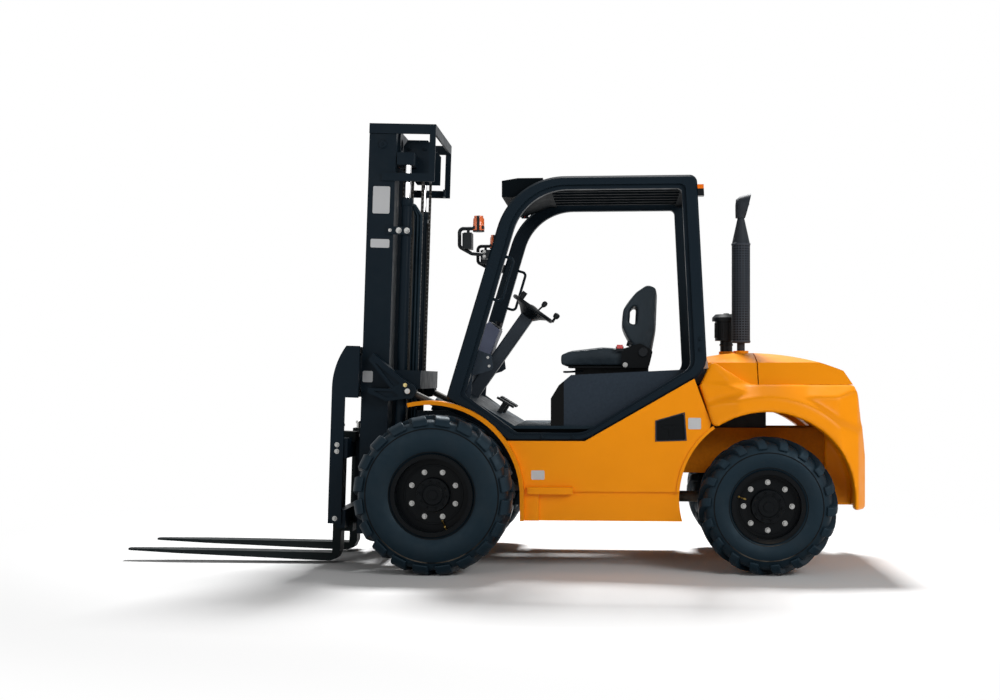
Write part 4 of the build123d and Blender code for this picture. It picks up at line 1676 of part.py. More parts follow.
# Tilt cylinders: barrel on the frame's clevis, rod with an eye on the mast bracket's pin
tilt_pin = (ahead(TILT_PIN_FORWARD), TILT_PIN_HEIGHT)
tilt_run = (tilt_pin[0] - tilt_base[0], tilt_pin[1] - tilt_base[1])
tilt_length = hypot(*tilt_run)
tilt_way = (tilt_run[0] / tilt_length, 0, tilt_run[1] / tilt_length)


def tilt_plane(distance, y):
    """Plane square to the cylinder at this distance from the base pin."""
    origin = (tilt_base[0] + tilt_way[0] * distance, y, tilt_base[1] + tilt_way[2] * distance)
    return Plane(origin, x_dir=(0, 1, 0), z_dir=tilt_way)


def tilt_bar(y, radius, start, end, mode=Mode.ADD):
    with BuildSketch(tilt_plane(start, y)) as round_face:
        Circle(radius)
    extrude(round_face.sketch, amount=end - start, mode=mode)


with BuildPart() as tilt_cylinders:
    bar_along_y(*tilt_base, TILT_EYE_RADIUS, TILT_Y - TILT_EYE_WIDTH / 2, TILT_Y + TILT_EYE_WIDTH / 2)
    tilt_bar(TILT_Y, TILT_EYE_WIDTH / 2, 0, TILT_BARREL_START)
    tilt_bar(TILT_Y, TILT_BARREL_RADIUS, TILT_BARREL_START, TILT_BARREL_END)
    bar_along_y(*tilt_base, TILT_PIN_RADIUS + FIT_GAP, TILT_Y - TILT_EYE_WIDTH / 2, TILT_Y + TILT_EYE_WIDTH / 2,
                mode=Mode.SUBTRACT)
    tilt_bar(TILT_Y, TILT_BARREL_BORE, TILT_BARREL_START + 20, TILT_BARREL_END - TILT_GLAND, mode=Mode.SUBTRACT)
    tilt_bar(TILT_Y, TILT_ROD_RADIUS + FIT_GAP, TILT_BARREL_END - TILT_GLAND, TILT_BARREL_END, mode=Mode.SUBTRACT)
    mirror(about=Plane.XZ)
keep(tilt_cylinders.part, "tilt_cylinders")
with BuildPart() as tilt_rods:
    tilt_bar(TILT_Y, TILT_ROD_RADIUS, TILT_PISTON_START, tilt_length - TILT_EYE_RADIUS / 2)
    tilt_bar(TILT_Y, TILT_BARREL_BORE - FIT_GAP, TILT_PISTON_START, TILT_PISTON_START + 30)
    bar_along_y(*tilt_pin, TILT_EYE_RADIUS, TILT_Y - TILT_EYE_WIDTH / 2, TILT_Y + TILT_EYE_WIDTH / 2)
    bar_along_y(*tilt_pin, TILT_PIN_RADIUS + TILT_PIN_PLAY, TILT_Y - TILT_EYE_WIDTH / 2,
                TILT_Y + TILT_EYE_WIDTH / 2, mode=Mode.SUBTRACT)
    mirror(about=Plane.XZ)
keep(tilt_rods.part, "tilt_rods")
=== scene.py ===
"""Looks of the rough terrain forklift: finishes, small fittings, seat pads, tyres, light and camera."""
import json
import math

import bmesh
import bpy
from mathutils import Matrix, Vector


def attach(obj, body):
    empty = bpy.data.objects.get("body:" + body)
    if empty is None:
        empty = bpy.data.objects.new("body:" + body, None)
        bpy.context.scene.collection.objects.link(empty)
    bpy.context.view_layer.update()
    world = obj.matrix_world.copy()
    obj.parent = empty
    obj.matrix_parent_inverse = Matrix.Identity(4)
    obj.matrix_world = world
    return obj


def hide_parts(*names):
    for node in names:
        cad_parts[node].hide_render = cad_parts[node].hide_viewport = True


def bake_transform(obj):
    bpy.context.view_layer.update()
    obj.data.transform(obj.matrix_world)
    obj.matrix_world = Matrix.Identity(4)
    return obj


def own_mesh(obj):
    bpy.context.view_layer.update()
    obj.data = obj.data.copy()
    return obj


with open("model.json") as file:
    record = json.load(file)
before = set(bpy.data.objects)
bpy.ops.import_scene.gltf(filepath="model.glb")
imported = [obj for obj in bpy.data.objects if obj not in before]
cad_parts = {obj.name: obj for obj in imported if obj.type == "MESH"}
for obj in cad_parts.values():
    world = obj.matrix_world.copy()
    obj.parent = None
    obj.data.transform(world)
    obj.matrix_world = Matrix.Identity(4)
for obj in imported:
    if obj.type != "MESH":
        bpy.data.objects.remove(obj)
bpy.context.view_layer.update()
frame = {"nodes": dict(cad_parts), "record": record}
NODES = frame["nodes"]
JOINTS = {joint["name"]: joint for joint in frame["record"]["behaviour"]["joints"]}
FRONT_AXLE = Vector(JOINTS["front_wheel_left_spin"]["pos_m"])
REAR_AXLE = Vector(JOINTS["rear_wheel_left_spin"]["pos_m"])
MAST_PIVOT = Vector(JOINTS["mast_tilt"]["pos_m"])
LIFT_WAY = Vector(JOINTS["mast_lift"]["axis"])
MAST_LEAN = math.atan2(-LIFT_WAY.x, LIFT_WAY.z)
SIDES = (("left", 1), ("right", -1))
UP = Vector((0, 0, 1))
REARWARD = Vector((-1, 0, 0))


def station(behind):
    """X of a place this far behind the front axle, in metres."""
    return FRONT_AXLE.x - behind


# Materials

def feed(tree, node, inputs):
    """Links each named input of a node to a socket, or sets it to a value."""
    for key, value in inputs.items():
        if isinstance(value, bpy.types.NodeSocket):
            tree.links.new(value, node.inputs[key])
        else:
            node.inputs[key].default_value = value


def new_node(tree, kind, inputs, **settings):
    """A new shader node with its settings and its inputs."""
    node = tree.nodes.new("ShaderNode" + kind)
    for key, value in settings.items():
        setattr(node, key, value)
    feed(tree, node, inputs)
    return node


def new_material(name):
    """A material, its node tree and the socket of its coordinates."""
    material = bpy.data.materials.new(name)
    material.use_nodes = True
    tree = material.node_tree
    return material, tree, new_node(tree, "TexCoord", {}).outputs["Object"]


def set_shader(tree, inputs):
    """Inputs of the material's principled shader."""
    feed(tree, tree.nodes["Principled BSDF"], inputs)


def noise_factor(tree, place, scale, low=0.3, high=0.7, detail=4.0):
    """A noise that runs from 0 to 1 between the two limits."""
    noise = new_node(tree, "TexNoise", {"Scale": scale, "Detail": detail, "Vector": place})
    span = {"From Min": low, "From Max": high, "Value": noise.outputs["Fac"]}
    return new_node(tree, "MapRange", span).outputs["Result"]


def gloss(tree, factor, low, high):
    """Roughness between two values."""
    return new_node(tree, "MapRange", {"To Min": low, "To Max": high, "Value": factor}).outputs["Result"]


def scaled(colour, share):
    return tuple(share * part for part in colour)


def mix_colours(tree, factor, first, second):
    """Colour between two colours, each a colour or a socket."""
    ends = {key: value if isinstance(value, bpy.types.NodeSocket) else (*value, 1.0)
            for key, value in (("A", first), ("B", second))}
    return new_node(tree, "Mix", {"Factor": factor, **ends}, data_type="RGBA").outputs["Result"]


def bump(tree, height, strength, distance):
    """Normal from a height socket."""
    return new_node(tree, "Bump", {"Strength": strength, "Distance": distance, "Height": height}).outputs["Normal"]


def combine(tree, operation, first, second):
    """Result of a sum on two sockets or values."""
    return new_node(tree, "Math", {0: first, 1: second}, operation=operation).outputs["Value"]


def low_dust(tree, place, top):
    """0 above a height and 1 at the ground, broken up by noise."""
    height = new_node(tree, "SeparateXYZ", {"Vector": place}).outputs["Z"]
    fall = new_node(tree, "MapRange", {"From Min": top, "From Max": 0.0, "Value": height}).outputs["Result"]
    return combine(tree, "MULTIPLY", fall, noise_factor(tree, place, 9.0, 0.35, 0.75))


def painted(name, colour, shade, roughness, coat=0.0, peel=0.04, dust_top=0.0, dust=(0.30, 0.26, 0.21), specular=0.3):
    """Sprayed paint: slight change of tone, orange peel, a clear coat, and dust low down."""
    material, tree, place = new_material(name)
    base = mix_colours(tree, noise_factor(tree, place, 2.3), colour, shade)
    if dust_top > 0.0:
        base = mix_colours(tree, low_dust(tree, place, dust_top), base, dust)
    set_shader(tree, {
        "Base Color": base,
        "Roughness": gloss(tree, noise_factor(tree, place, 14.0), roughness - 0.05, roughness + 0.08),
        "Specular IOR Level": specular, "Coat Weight": coat, "Coat Roughness": 0.12,
        "Normal": bump(tree, noise_factor(tree, place, 320.0, 0.2, 0.8, 2.0), peel, 0.002)})
    return material


def metal(name, colour, roughness):
    """Bare metal with fine scratches and uneven sheen."""
    material, tree, place = new_material(name)
    set_shader(tree, {
        "Base Color": mix_colours(tree, noise_factor(tree, place, 30.0), colour, scaled(colour, 0.75)), "Metallic": 1.0,
        "Roughness": gloss(tree, noise_factor(tree, place, 160.0), max(roughness - 0.06, 0.03), roughness + 0.10),
        "Normal": bump(tree, noise_factor(tree, place, 480.0), 0.03, 0.001)})
    return material


def rubber(name, colour, dust_colour):
    """Moulded rubber with a fine grain and dust in patches."""
    material, tree, place = new_material(name)
    set_shader(tree, {
        "Base Color": mix_colours(tree, noise_factor(tree, place, 7.0, 0.45, 0.85), colour, dust_colour),
        "Roughness": gloss(tree, noise_factor(tree, place, 25.0), 0.36, 0.58),
        "Specular IOR Level": 0.20, "Specular Tint": (0.62, 0.84, 1.0, 1.0),
        "Normal": bump(tree, noise_factor(tree, place, 420.0), 0.12, 0.002)})
    return material


def cells(tree, place, scale):
    """Distance from the middle of the cell, for grain and lamp glass."""
    return new_node(tree, "TexVoronoi", {"Scale": scale, "Vector": place}).outputs["Distance"]


def moulded(name, colour, roughness, grain=260.0, strength=0.18):
    """Grained plastic or vinyl."""
    material, tree, place = new_material(name)
    set_shader(tree, {
        "Base Color": mix_colours(tree, noise_factor(tree, place, 5.0, 0.35, 0.7), colour, scaled(colour, 1.35)),
        "Roughness": roughness, "Specular IOR Level": 0.16,
        "Normal": bump(tree, cells(tree, place, grain), strength, 0.001)})
    return material


def lens(name, colour):
    """Clear coloured lamp moulding with ribs, and a faint glow of its own colour that is painted light where it sits on
    parts that are no lamps.
    """
    material, tree, place = new_material(name)
    ribs = new_node(tree, "TexWave", {"Scale": 90.0, "Vector": place}).outputs["Fac"]
    set_shader(tree, {
        "Base Color": mix_colours(tree, ribs, colour, scaled(colour, 0.7)), "Roughness": 0.08, "Coat Weight": 0.6,
        "Emission Color": (*colour, 1.0), "Emission Strength": 0.12, "Normal": bump(tree, ribs, 0.25, 0.002)})
    return material


def two_tone(name, first, second, axis, limit, first_rough, second_rough):
    """Finish in two colours, one below a limit along an axis and the other above it, each with its own gloss."""
    material, tree, place = new_material(name)
    step = combine(tree, "GREATER_THAN", new_node(tree, "SeparateXYZ", {"Vector": place}).outputs[axis], limit)
    grain = noise_factor(tree, place, 60.0)
    ends = [mix_colours(tree, grain, colour, scaled(colour, 0.85)) for colour in (first, second)]
    set_shader(tree, {
        "Base Color": mix_colours(tree, step, *ends), "Roughness": gloss(tree, step, first_rough, second_rough),
        "Specular IOR Level": 0.08, "Normal": bump(tree, grain, 0.05, 0.001)})
    return material


def clear_glass(name, tint):
    """Lamp glass over a bright reflector."""
    material, tree, place = new_material(name)
    facets = cells(tree, place, 70.0)
    set_shader(tree, {
        "Base Color": mix_colours(tree, facets, tint, scaled(tint, 0.55)), "Roughness": 0.06, "Metallic": 0.55,
        "Coat Weight": 1.0, "Normal": bump(tree, facets, 0.3, 0.002)})
    return material


ORANGE = painted("orange_paint", (0.97, 0.315, 0.002), (0.91, 0.290, 0.001), 0.34, dust_top=0.30, specular=0.14)
# The frame's orange, behind 0.95 m from the front axle, is a darker copy of the body orange: painted shade under the
# rear arch. In front of that the frame is near-black.
FRAME_SHADED_TWO_TONE = two_tone("frame_shaded_two_tone", (0.56, 0.170, 0.002), (0.0034, 0.0090, 0.0150), "X", station(0.950), 0.50, 0.42)
BLACK = painted("black_paint", (0.0032, 0.0092, 0.0155), (0.0050, 0.0115, 0.0180), 0.42, specular=0.08)
GREY = painted("grey_sheet", (0.020, 0.030, 0.042), (0.026, 0.036, 0.048), 0.46, specular=0.12)
CAST = painted("cast_iron", (0.010, 0.012, 0.014), (0.018, 0.019, 0.020), 0.55, peel=0.12, dust_top=0.9, specular=0.2)
RIM = painted("rim_black", (0.0016, 0.0026, 0.0036), (0.0028, 0.0038, 0.0048), 0.34, dust_top=0.22, specular=0.08)
TYRE = rubber("tyre_rubber", (0.0046, 0.0118, 0.0185), (0.0095, 0.0160, 0.0220))
STEEL = metal("zinc_steel", (0.46, 0.46, 0.45), 0.34)
CHROME = metal("chrome", (0.80, 0.80, 0.81), 0.08)
DARK_STEEL = metal("oiled_steel", (0.045, 0.043, 0.040), 0.42)
FORK_STEEL = painted("fork_paint", (0.0060, 0.0100, 0.0110), (0.012, 0.016, 0.017), 0.52, dust_top=0.06,
                     dust=(0.018, 0.024, 0.026), specular=0.06)
PIN_STEEL = metal("pin_steel", (0.150, 0.150, 0.145), 0.36)
# Darker than the black paint of the rest: painted shade on the underside of the guard's roof.
ROOF_SHADED = painted("roof_paint_shaded", (0.0018, 0.0036, 0.0052), (0.0026, 0.0046, 0.0062), 0.60, specular=0.03)
PLASTIC = moulded("black_plastic", (0.0060, 0.0082, 0.0105), 0.42)
POD_PLASTIC = moulded("pod_plastic", (0.082, 0.094, 0.140), 0.46)
COLUMN_PLASTIC = moulded("column_plastic", (0.026, 0.034, 0.044), 0.44)
GLOSS = painted("gloss_black", (0.0030, 0.0035, 0.0040), (0.0045, 0.0050, 0.0055), 0.14, coat=0.1, specular=0.25)
VINYL = moulded("seat_vinyl", (0.017, 0.026, 0.034), 0.44, grain=330.0, strength=0.28)
AMBER = lens("amber_lens", (0.95, 0.16, 0.01))
# Glows faintly: painted light on the seat buckle and the rear reflectors, which are no lamps.
RED_GLOWING = lens("red_glowing_lens", (0.62, 0.012, 0.010))
REAR_LAMP = two_tone("rear_lamp", (0.009, 0.010, 0.012), (0.95, 0.20, 0.01), "Z", 2.238, 0.18, 0.18)
SEAT_BOX = two_tone("seat_box", (0.028, 0.040, 0.056), (0.0030, 0.0034, 0.0038), "X", station(0.742), 0.42, 0.14)
GLASS = clear_glass("lamp_glass", (0.80, 0.82, 0.84))
PLATE = painted("blank_plate", (0.56, 0.57, 0.58), (0.50, 0.51, 0.52), 0.4, coat=0.1)
BRASS = metal("brass", (0.70, 0.46, 0.14), 0.32)
YELLOW_ZINC = metal("yellow_zinc", (0.66, 0.55, 0.26), 0.34)
EXHAUST = painted("exhaust_paint", (0.020, 0.026, 0.033), (0.028, 0.032, 0.038), 0.50, peel=0.1, specular=0.12)
SHIELD = painted("shield_paint", (0.034, 0.042, 0.054), (0.042, 0.050, 0.062), 0.50, peel=0.1, specular=0.14)

# Nodes that aren't named here are black
NODE_FINISH = {
    ORANGE: ("side_tank_left", "side_tank_right", "front_fenders", "counterweight", "hood_front", "hood_lid"),
    FRAME_SHADED_TWO_TONE: ("frame",),
    SEAT_BOX: ("seat_box",),
    GREY: ("cowl",),
    CAST: ("front_axle", "rear_axle", "gearbox", "engine_block", "knuckle_left", "knuckle_right", "tie_rod",
           "drive_shafts"),
    TYRE: ("front_tyre_left", "front_tyre_right", "rear_tyre_left", "rear_tyre_right", "floor_plate"),
    RIM: ("front_rim_left", "front_rim_right", "rear_rim_left", "rear_rim_right", "seat_frame", "latch_panels"),
    CHROME: ("lift_rods",),
    DARK_STEEL: ("chains_rear", "chains_front", "chain_sheaves", "tilt_rods"),
    ROOF_SHADED: ("guard_roof",),
    POD_PLASTIC: ("dash_pod",),
    COLUMN_PLASTIC: ("steering_column",),
    PLASTIC: ("steering_wheel", "control_levers", "pedals", "air_precleaner", "headlamps"),
    VINYL: ("seat_cushion", "seat_back"),
    AMBER: ("turn_lamps",),
    REAR_LAMP: ("rear_lamps",),
    EXHAUST: ("exhaust_stack",),
    FORK_STEEL: ("fork_left", "fork_right"),
}

# Width, steps and least angle of the rounding of an edge
EDGE = (0.003, 2, 40.0)
EDGE_OF = {"hood_front": (0.010, 3, 12.0), "hood_lid": (0.010, 3, 12.0), "seat_box": (0.030, 4, 25.0),
           "side_tank_left": (0.006, 3, 25.0), "side_tank_right": (0.006, 3, 25.0)}
CAST_VOXEL = 0.011
CAST_ROUNDS = 9


def soften(piece, width, segments, angle):
    """Rounds the edges of a piece."""
    bevel = piece.modifiers.new("edge", "BEVEL")
    bevel.width = width
    bevel.segments = segments
    bevel.limit_method = "ANGLE"
    bevel.angle_limit = math.radians(angle)


def cast_form(node):
    """Rounded edges and soft changes of slope of an iron casting."""
    remesh = node.modifiers.new("cast", "REMESH")
    remesh.mode = "VOXEL"
    remesh.voxel_size = CAST_VOXEL
    remesh.use_smooth_shade = True
    node.modifiers.new("round", "SMOOTH").iterations = CAST_ROUNDS


def finish_nodes():
    """Gives every CAD node its finish, and a rounding of its edges."""
    finish_of = {name: material for material, names in NODE_FINISH.items() for name in names}
    for name, node in NODES.items():
        node.data.materials.clear()
        node.data.materials.append(finish_of.get(name, BLACK))
        if name == "counterweight":
            cast_form(node)
        else:
            soften(node, *EDGE_OF.get(name, EDGE))


finish_nodes()


# Mesh helpers

def around(side, other, count):
    """Unit vectors in a circle."""
    angles = [2 * math.pi * step / count for step in range(count)]
    return [side * math.cos(angle) + other * math.sin(angle) for angle in angles]


def axis_circle(way, count):
    """Direction of an axis, and unit vectors in a circle about it."""
    way = Vector(way).normalized()
    side = way.orthogonal().normalized()
    return way, around(side, way.cross(side), count)


class Shape:
    """Vertices and faces gathered from many small forms into one mesh."""

    def __init__(self):
        self.verts = []
        self.faces = []
        self.bright = []

    def add(self, verts, faces):
        start = len(self.verts)
        self.verts.extend(verts)
        self.faces.extend([tuple(start + corner for corner in face) for face in faces])

    def block(self, low, high, turn=None):
        """Rectangular form between two corners, moved by a matrix where one is given."""
        corners = [Vector((x, y, z)) for x in (low[0], high[0]) for y in (low[1], high[1]) for z in (low[2], high[2])]
        if turn is not None:
            corners = [turn @ corner for corner in corners]
        self.add(corners, [(0, 1, 3, 2), (4, 6, 7, 5), (0, 4, 5, 1), (2, 3, 7, 6), (0, 2, 6, 4), (1, 5, 7, 3)])

    def skin(self, rings):
        """Skin over rings of as many points each, with both ends filled."""
        count = len(rings[0])
        faces = []
        for ring in range(len(rings) - 1):
            for step in range(count):
                after = (step + 1) % count
                faces.append((ring * count + step, ring * count + after, (ring + 1) * count + after,
                              (ring + 1) * count + step))
        faces += [tuple(range(count)), tuple(range((len(rings) - 1) * count, len(rings) * count))]
        self.add([point for ring in rings for point in ring], faces)

    def loop(self, sections):
        """Closed ring through closed sections of as many points each."""
        size = len(sections[0])
        faces = []
        for step in range(len(sections)):
            after = (step + 1) % len(sections)
            for place in range(size):
                beyond = (place + 1) % size
                faces.append((step * size + place, step * size + beyond, after * size + beyond, after * size + place))
        self.add([point for section in sections for point in section], faces)

    def prism(self, first, second):
        """Form between two outlines of as many corners each."""
        size = len(first)
        faces = [tuple(range(size)), tuple(range(size, 2 * size))]
        faces += [(place, (place + 1) % size, size + (place + 1) % size, size + place) for place in range(size)]
        self.add(first + second, faces)

    def turned(self, foot, way, rings, count):
        """Round or many-sided form on an axis; each ring is (distance along the axis, radius)."""
        way, circle = axis_circle(way, count)
        self.skin([[Vector(foot) + way * distance + spoke * radius for spoke in circle] for distance, radius in rings])

    def hoop(self, foot, way, section, count):
        """Ring on an axis from a closed section of (distance along the axis, radius)."""
        way, circle = axis_circle(way, count)
        self.loop([[Vector(foot) + way * distance + spoke * radius for distance, radius in section] for spoke in circle])

    def bolt(self, seat, way, across, height):
        """Washer, hexagon head with a chamfered top, and the end of the thread."""
        washer = 0.10 * across
        self.turned(seat, way, [(0, 0.74 * across), (washer, 0.74 * across)], 20)
        up = Vector(way).normalized()
        self.turned(Vector(seat) + up * washer, way,
                    [(0, 0.577 * across), (height * 0.82, 0.577 * across), (height, 0.5 * across)], 6)
        self.turned(Vector(seat) + up * (washer + height), way,
                    [(0, 0.27 * across), (0.22 * across, 0.27 * across), (0.28 * across, 0.22 * across)], 12)

    def tube(self, points, radius, count):
        """Round bar along a line of points, with closed ends."""
        points = [Vector(point) for point in points]
        rings = []
        side = None
        for place, point in enumerate(points):
            way = (points[min(place + 1, len(points) - 1)] - points[max(place - 1, 0)]).normalized()
            side = way.orthogonal().normalized() if side is None else (side - way * side.dot(way)).normalized()
            rings.append([point + spoke * radius for spoke in around(side, way.cross(side), count)])
        self.skin(rings)

    def plate(self, corners, way, thickness):
        """Flat plate from its corners, thickened along a direction."""
        lift = Vector(way).normalized() * thickness
        self.prism(corners, [corner + lift for corner in corners])

    def piece(self, name, material, body, slot, sharp=35.0):
        """Smooth-shaded mesh that rides on a body, with its edges sharp past an angle in degrees."""
        mesh = bpy.data.meshes.new(name)
        mesh.from_pydata([tuple(vert) for vert in self.verts], [], self.faces)
        mesh.update()
        work = bmesh.new()
        work.from_mesh(mesh)
        bmesh.ops.recalc_face_normals(work, faces=work.faces)
        work.to_mesh(mesh)
        work.free()
        for face in mesh.polygons:
            face.use_smooth = True
        mesh.set_sharp_from_angle(angle=math.radians(sharp))
        mesh.materials.append(material)
        piece = bpy.data.objects.new(name, mesh)
        bpy.context.scene.collection.objects.link(piece)
        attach(piece, body)
        return piece


# Tyres: a closed carcass with a row of lugs over each shoulder

# Radius and half width from the bead to the middle of the tread, in metres
FRONT_CARCASS = (
    (0.2225, 0.136), (0.233, 0.144), (0.244, 0.152), (0.26, 0.161), (0.28, 0.169), (0.302, 0.174), (0.324, 0.1756),
    (0.346, 0.1742), (0.365, 0.1705), (0.38, 0.1655), (0.3885, 0.1635), (0.402, 0.159), (0.415, 0.153), (0.425, 0.144),
    (0.4315, 0.125), (0.433, 0.08), (0.4335, 0.0))
REAR_CARCASS = (
    (0.195, 0.102), (0.205, 0.1085), (0.216, 0.115), (0.232, 0.1225), (0.252, 0.129), (0.272, 0.1325), (0.29, 0.132),
    (0.305, 0.1295), (0.3135, 0.127), (0.327, 0.122), (0.342, 0.114), (0.355, 0.102), (0.364, 0.083), (0.37, 0.05),
    (0.372, 0.0))
# Radius and half width of a lug's section, from the middle over the shoulder and back under the carcass
FRONT_LUG = (
    (0.43, 0.012), (0.4592, 0.014), (0.4605, 0.05), (0.4605, 0.095), (0.4596, 0.128), (0.452, 0.15), (0.435, 0.168),
    (0.406, 0.1765), (0.401, 0.169), (0.418, 0.152), (0.427, 0.12), (0.428, 0.06))
REAR_LUG = (
    (0.366, 0.006), (0.396, 0.008), (0.3975, 0.028), (0.3972, 0.052), (0.395, 0.078), (0.389, 0.1), (0.377, 0.118),
    (0.356, 0.13), (0.333, 0.1335), (0.327, 0.124), (0.344, 0.112), (0.356, 0.09), (0.365, 0.05))
# End, carcass, lug section, lugs in a row, angle of the first lug, half angle at the top and at the foot,
# sweep to the middle, curve of the sweep
TYRES = (
    ("front", FRONT_CARCASS, FRONT_LUG, 20, 9.3, 5.2, 6.3, -6.5, 1.0),
    ("rear", REAR_CARCASS, REAR_LUG, 18, 4.5, 3.2, 4.6, -18.0, 1.4),
)
TYRE_STEPS = 144
LUG_SHARP = 32.0
LUG_EDGE = 0.004


def wheel_centre(end, name):
    return Vector(JOINTS[f"{end}_wheel_{name}_spin"]["pos_m"])


def wheel_point(centre, radius, offset, angle):
    """Point on a wheel, at an angle about its axis and an offset along it."""
    return centre + Vector((radius * math.cos(angle), offset, radius * math.sin(angle)))


def make_tyre(name, side, end, carcass, lug, count, first, top_half, foot_half, sweep, curve):
    """One tyre: closed ring of the carcass profile, with a row of lugs on each shoulder."""
    centre = wheel_centre(end, name)
    profile = list(carcass) + [(radius, -offset) for radius, offset in reversed(carcass[:-1])]
    shape = Shape()
    shape.loop([[wheel_point(centre, radius, offset, 2 * math.pi * step / TYRE_STEPS) for radius, offset in profile]
                for step in range(TYRE_STEPS)])
    widest = max(offset for _, offset in lug)
    crown = max(radius for radius, _ in lug)
    base = min(radius for radius, _ in lug)
    for row in (1, -1):
        for number in range(count):
            middle = first + 360.0 * (number + (0.0 if row > 0 else 0.5)) / count
            ends = []
            for way in (-1, 1):
                outline = []
                for radius, offset in lug:
                    half = foot_half + (top_half - foot_half) * ((radius - base) / (crown - base))
                    angle = middle + sweep * (1.0 - offset / widest) ** curve + way * half
                    outline.append(wheel_point(centre, radius, side * row * offset, math.radians(angle)))
                ends.append(outline)
            shape.prism(*ends)
    tyre = shape.piece(f"{end}_tyre_rubber_{name}", TYRE, f"{end}_wheel_{name}", "tyre", LUG_SHARP)
    soften(tyre, LUG_EDGE, 2, LUG_SHARP)
    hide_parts(f"{end}_tyre_{name}")


for tyre_row in TYRES:
    for side_name, side_sign in SIDES:
        make_tyre(side_name, side_sign, *tyre_row)


# Wheels: nuts, hub caps with bolts, rings on rim and tyre, valves

NUT_CIRCLE = 0.1375
NUT_COUNT = 8
HUB_BOLT_CIRCLE = 0.078
HUB_BOLT_COUNT = 10
# End, turn of the nuts in steps, face of the disc and of the hub cap along the axle from the middle of the tyre,
# radius of the valve's seat and its angle, rings as (offset, radius, thickness)
WHEEL_FACES = (
    ("front", 0.5, 0.058, 0.100, 0.205, -110,
     ((0.058, 0.170, 0.006), (0.152, 0.221, 0.008), (0.100, 0.068, 0.004), (0.1655, 0.384, 0.0036),
      (0.1560, 0.250, 0.0030))),
    ("rear", 0.0, 0.063, 0.105, 0.178, 18,
     ((0.063, 0.160, 0.005), (0.110, 0.194, 0.007), (0.105, 0.068, 0.004), (0.1290, 0.309, 0.0034),
      (0.1190, 0.224, 0.0028))),
)


def dress_wheel(name, side, end, nut_turn, disc_face, cap_face, valve_radius, valve_angle, rings):
    centre = wheel_centre(end, name)
    out = Vector((0, side, 0))
    body = f"{end}_wheel_{name}"
    nuts = Shape()
    for number in range(NUT_COUNT):
        angle = 2 * math.pi * (number + nut_turn) / NUT_COUNT
        nuts.bolt(wheel_point(centre, NUT_CIRCLE, side * disc_face, angle), out, 0.021, 0.017)
    nuts.piece(f"{end}_wheel_nuts_{name}", STEEL, body, "steel")
    hub = Shape()
    for number in range(HUB_BOLT_COUNT):
        angle = 2 * math.pi * (number + 0.2) / HUB_BOLT_COUNT
        hub.bolt(wheel_point(centre, HUB_BOLT_CIRCLE, side * cap_face, angle), out, 0.013, 0.008)
    hub.turned(centre + out * cap_face, out,
               [(0, 0.060), (0.006, 0.060), (0.010, 0.055), (0.010, 0.030), (0.016, 0.028), (0.016, 0.012)], 36)
    for offset, radius, thick in rings:
        section = ((0.0, -1.0), (0.4, -0.7), (0.5, 0.0), (0.4, 0.7), (0.0, 1.0), (-1.0, 0.0))
        hub.hoop(centre + out * offset, out, [(thick * along, radius + thick * across) for along, across in section], 72)
    hub.piece(f"{end}_hub_bolts_{name}", RIM, body, "rim_black")
    valve = Shape()
    foot = wheel_point(centre, valve_radius, side * (disc_face + 0.006), math.radians(valve_angle))
    valve.turned(foot, centre + out * (disc_face + 0.12) - foot,
                 [(-0.004, 0.008), (0.010, 0.007), (0.012, 0.0045), (0.040, 0.0045), (0.041, 0.006), (0.054, 0.006)], 14)
    valve.piece(f"{end}_valve_{name}", BRASS, body, "steel")


for wheel_row in WHEEL_FACES:
    for side_name, side_sign in SIDES:
        dress_wheel(side_name, side_sign, *wheel_row)


# Seat: foam pads swelled by a cloth run

PAD_MOVE = 0.006
PAD_VOXEL = 0.006
CLOTH_FRAMES = 20


def apply_modifier(piece, kind, **settings):
    """Adds a modifier with its settings and applies it."""
    modifier = piece.modifiers.new(kind.lower(), kind)
    for key, value in settings.items():
        setattr(modifier, key, value)
    bpy.ops.object.modifier_apply(modifier=modifier.name)


def swell(pad, pressure):
    """Cloth run under inner pressure, with each point held to a largest move."""
    rest = [vert.co.copy() for vert in pad.data.vertices]
    cloth = pad.modifiers.new("cloth", "CLOTH")
    cloth.settings.use_pressure = True
    cloth.settings.uniform_pressure_force = pressure
    cloth.settings.effector_weights.gravity = 0.0
    cloth.settings.tension_stiffness = 60
    cloth.settings.compression_stiffness = 60
    cloth.settings.bending_stiffness = 30
    for number in range(1, CLOTH_FRAMES + 1):
        bpy.context.scene.frame_set(number)
    bpy.ops.object.modifier_apply(modifier="cloth")
    bpy.context.scene.frame_set(1)
    for vert, start in zip(pad.data.vertices, rest):
        move = vert.co - start
        if move.length > PAD_MOVE:
            vert.co = start + move * (PAD_MOVE / move.length)


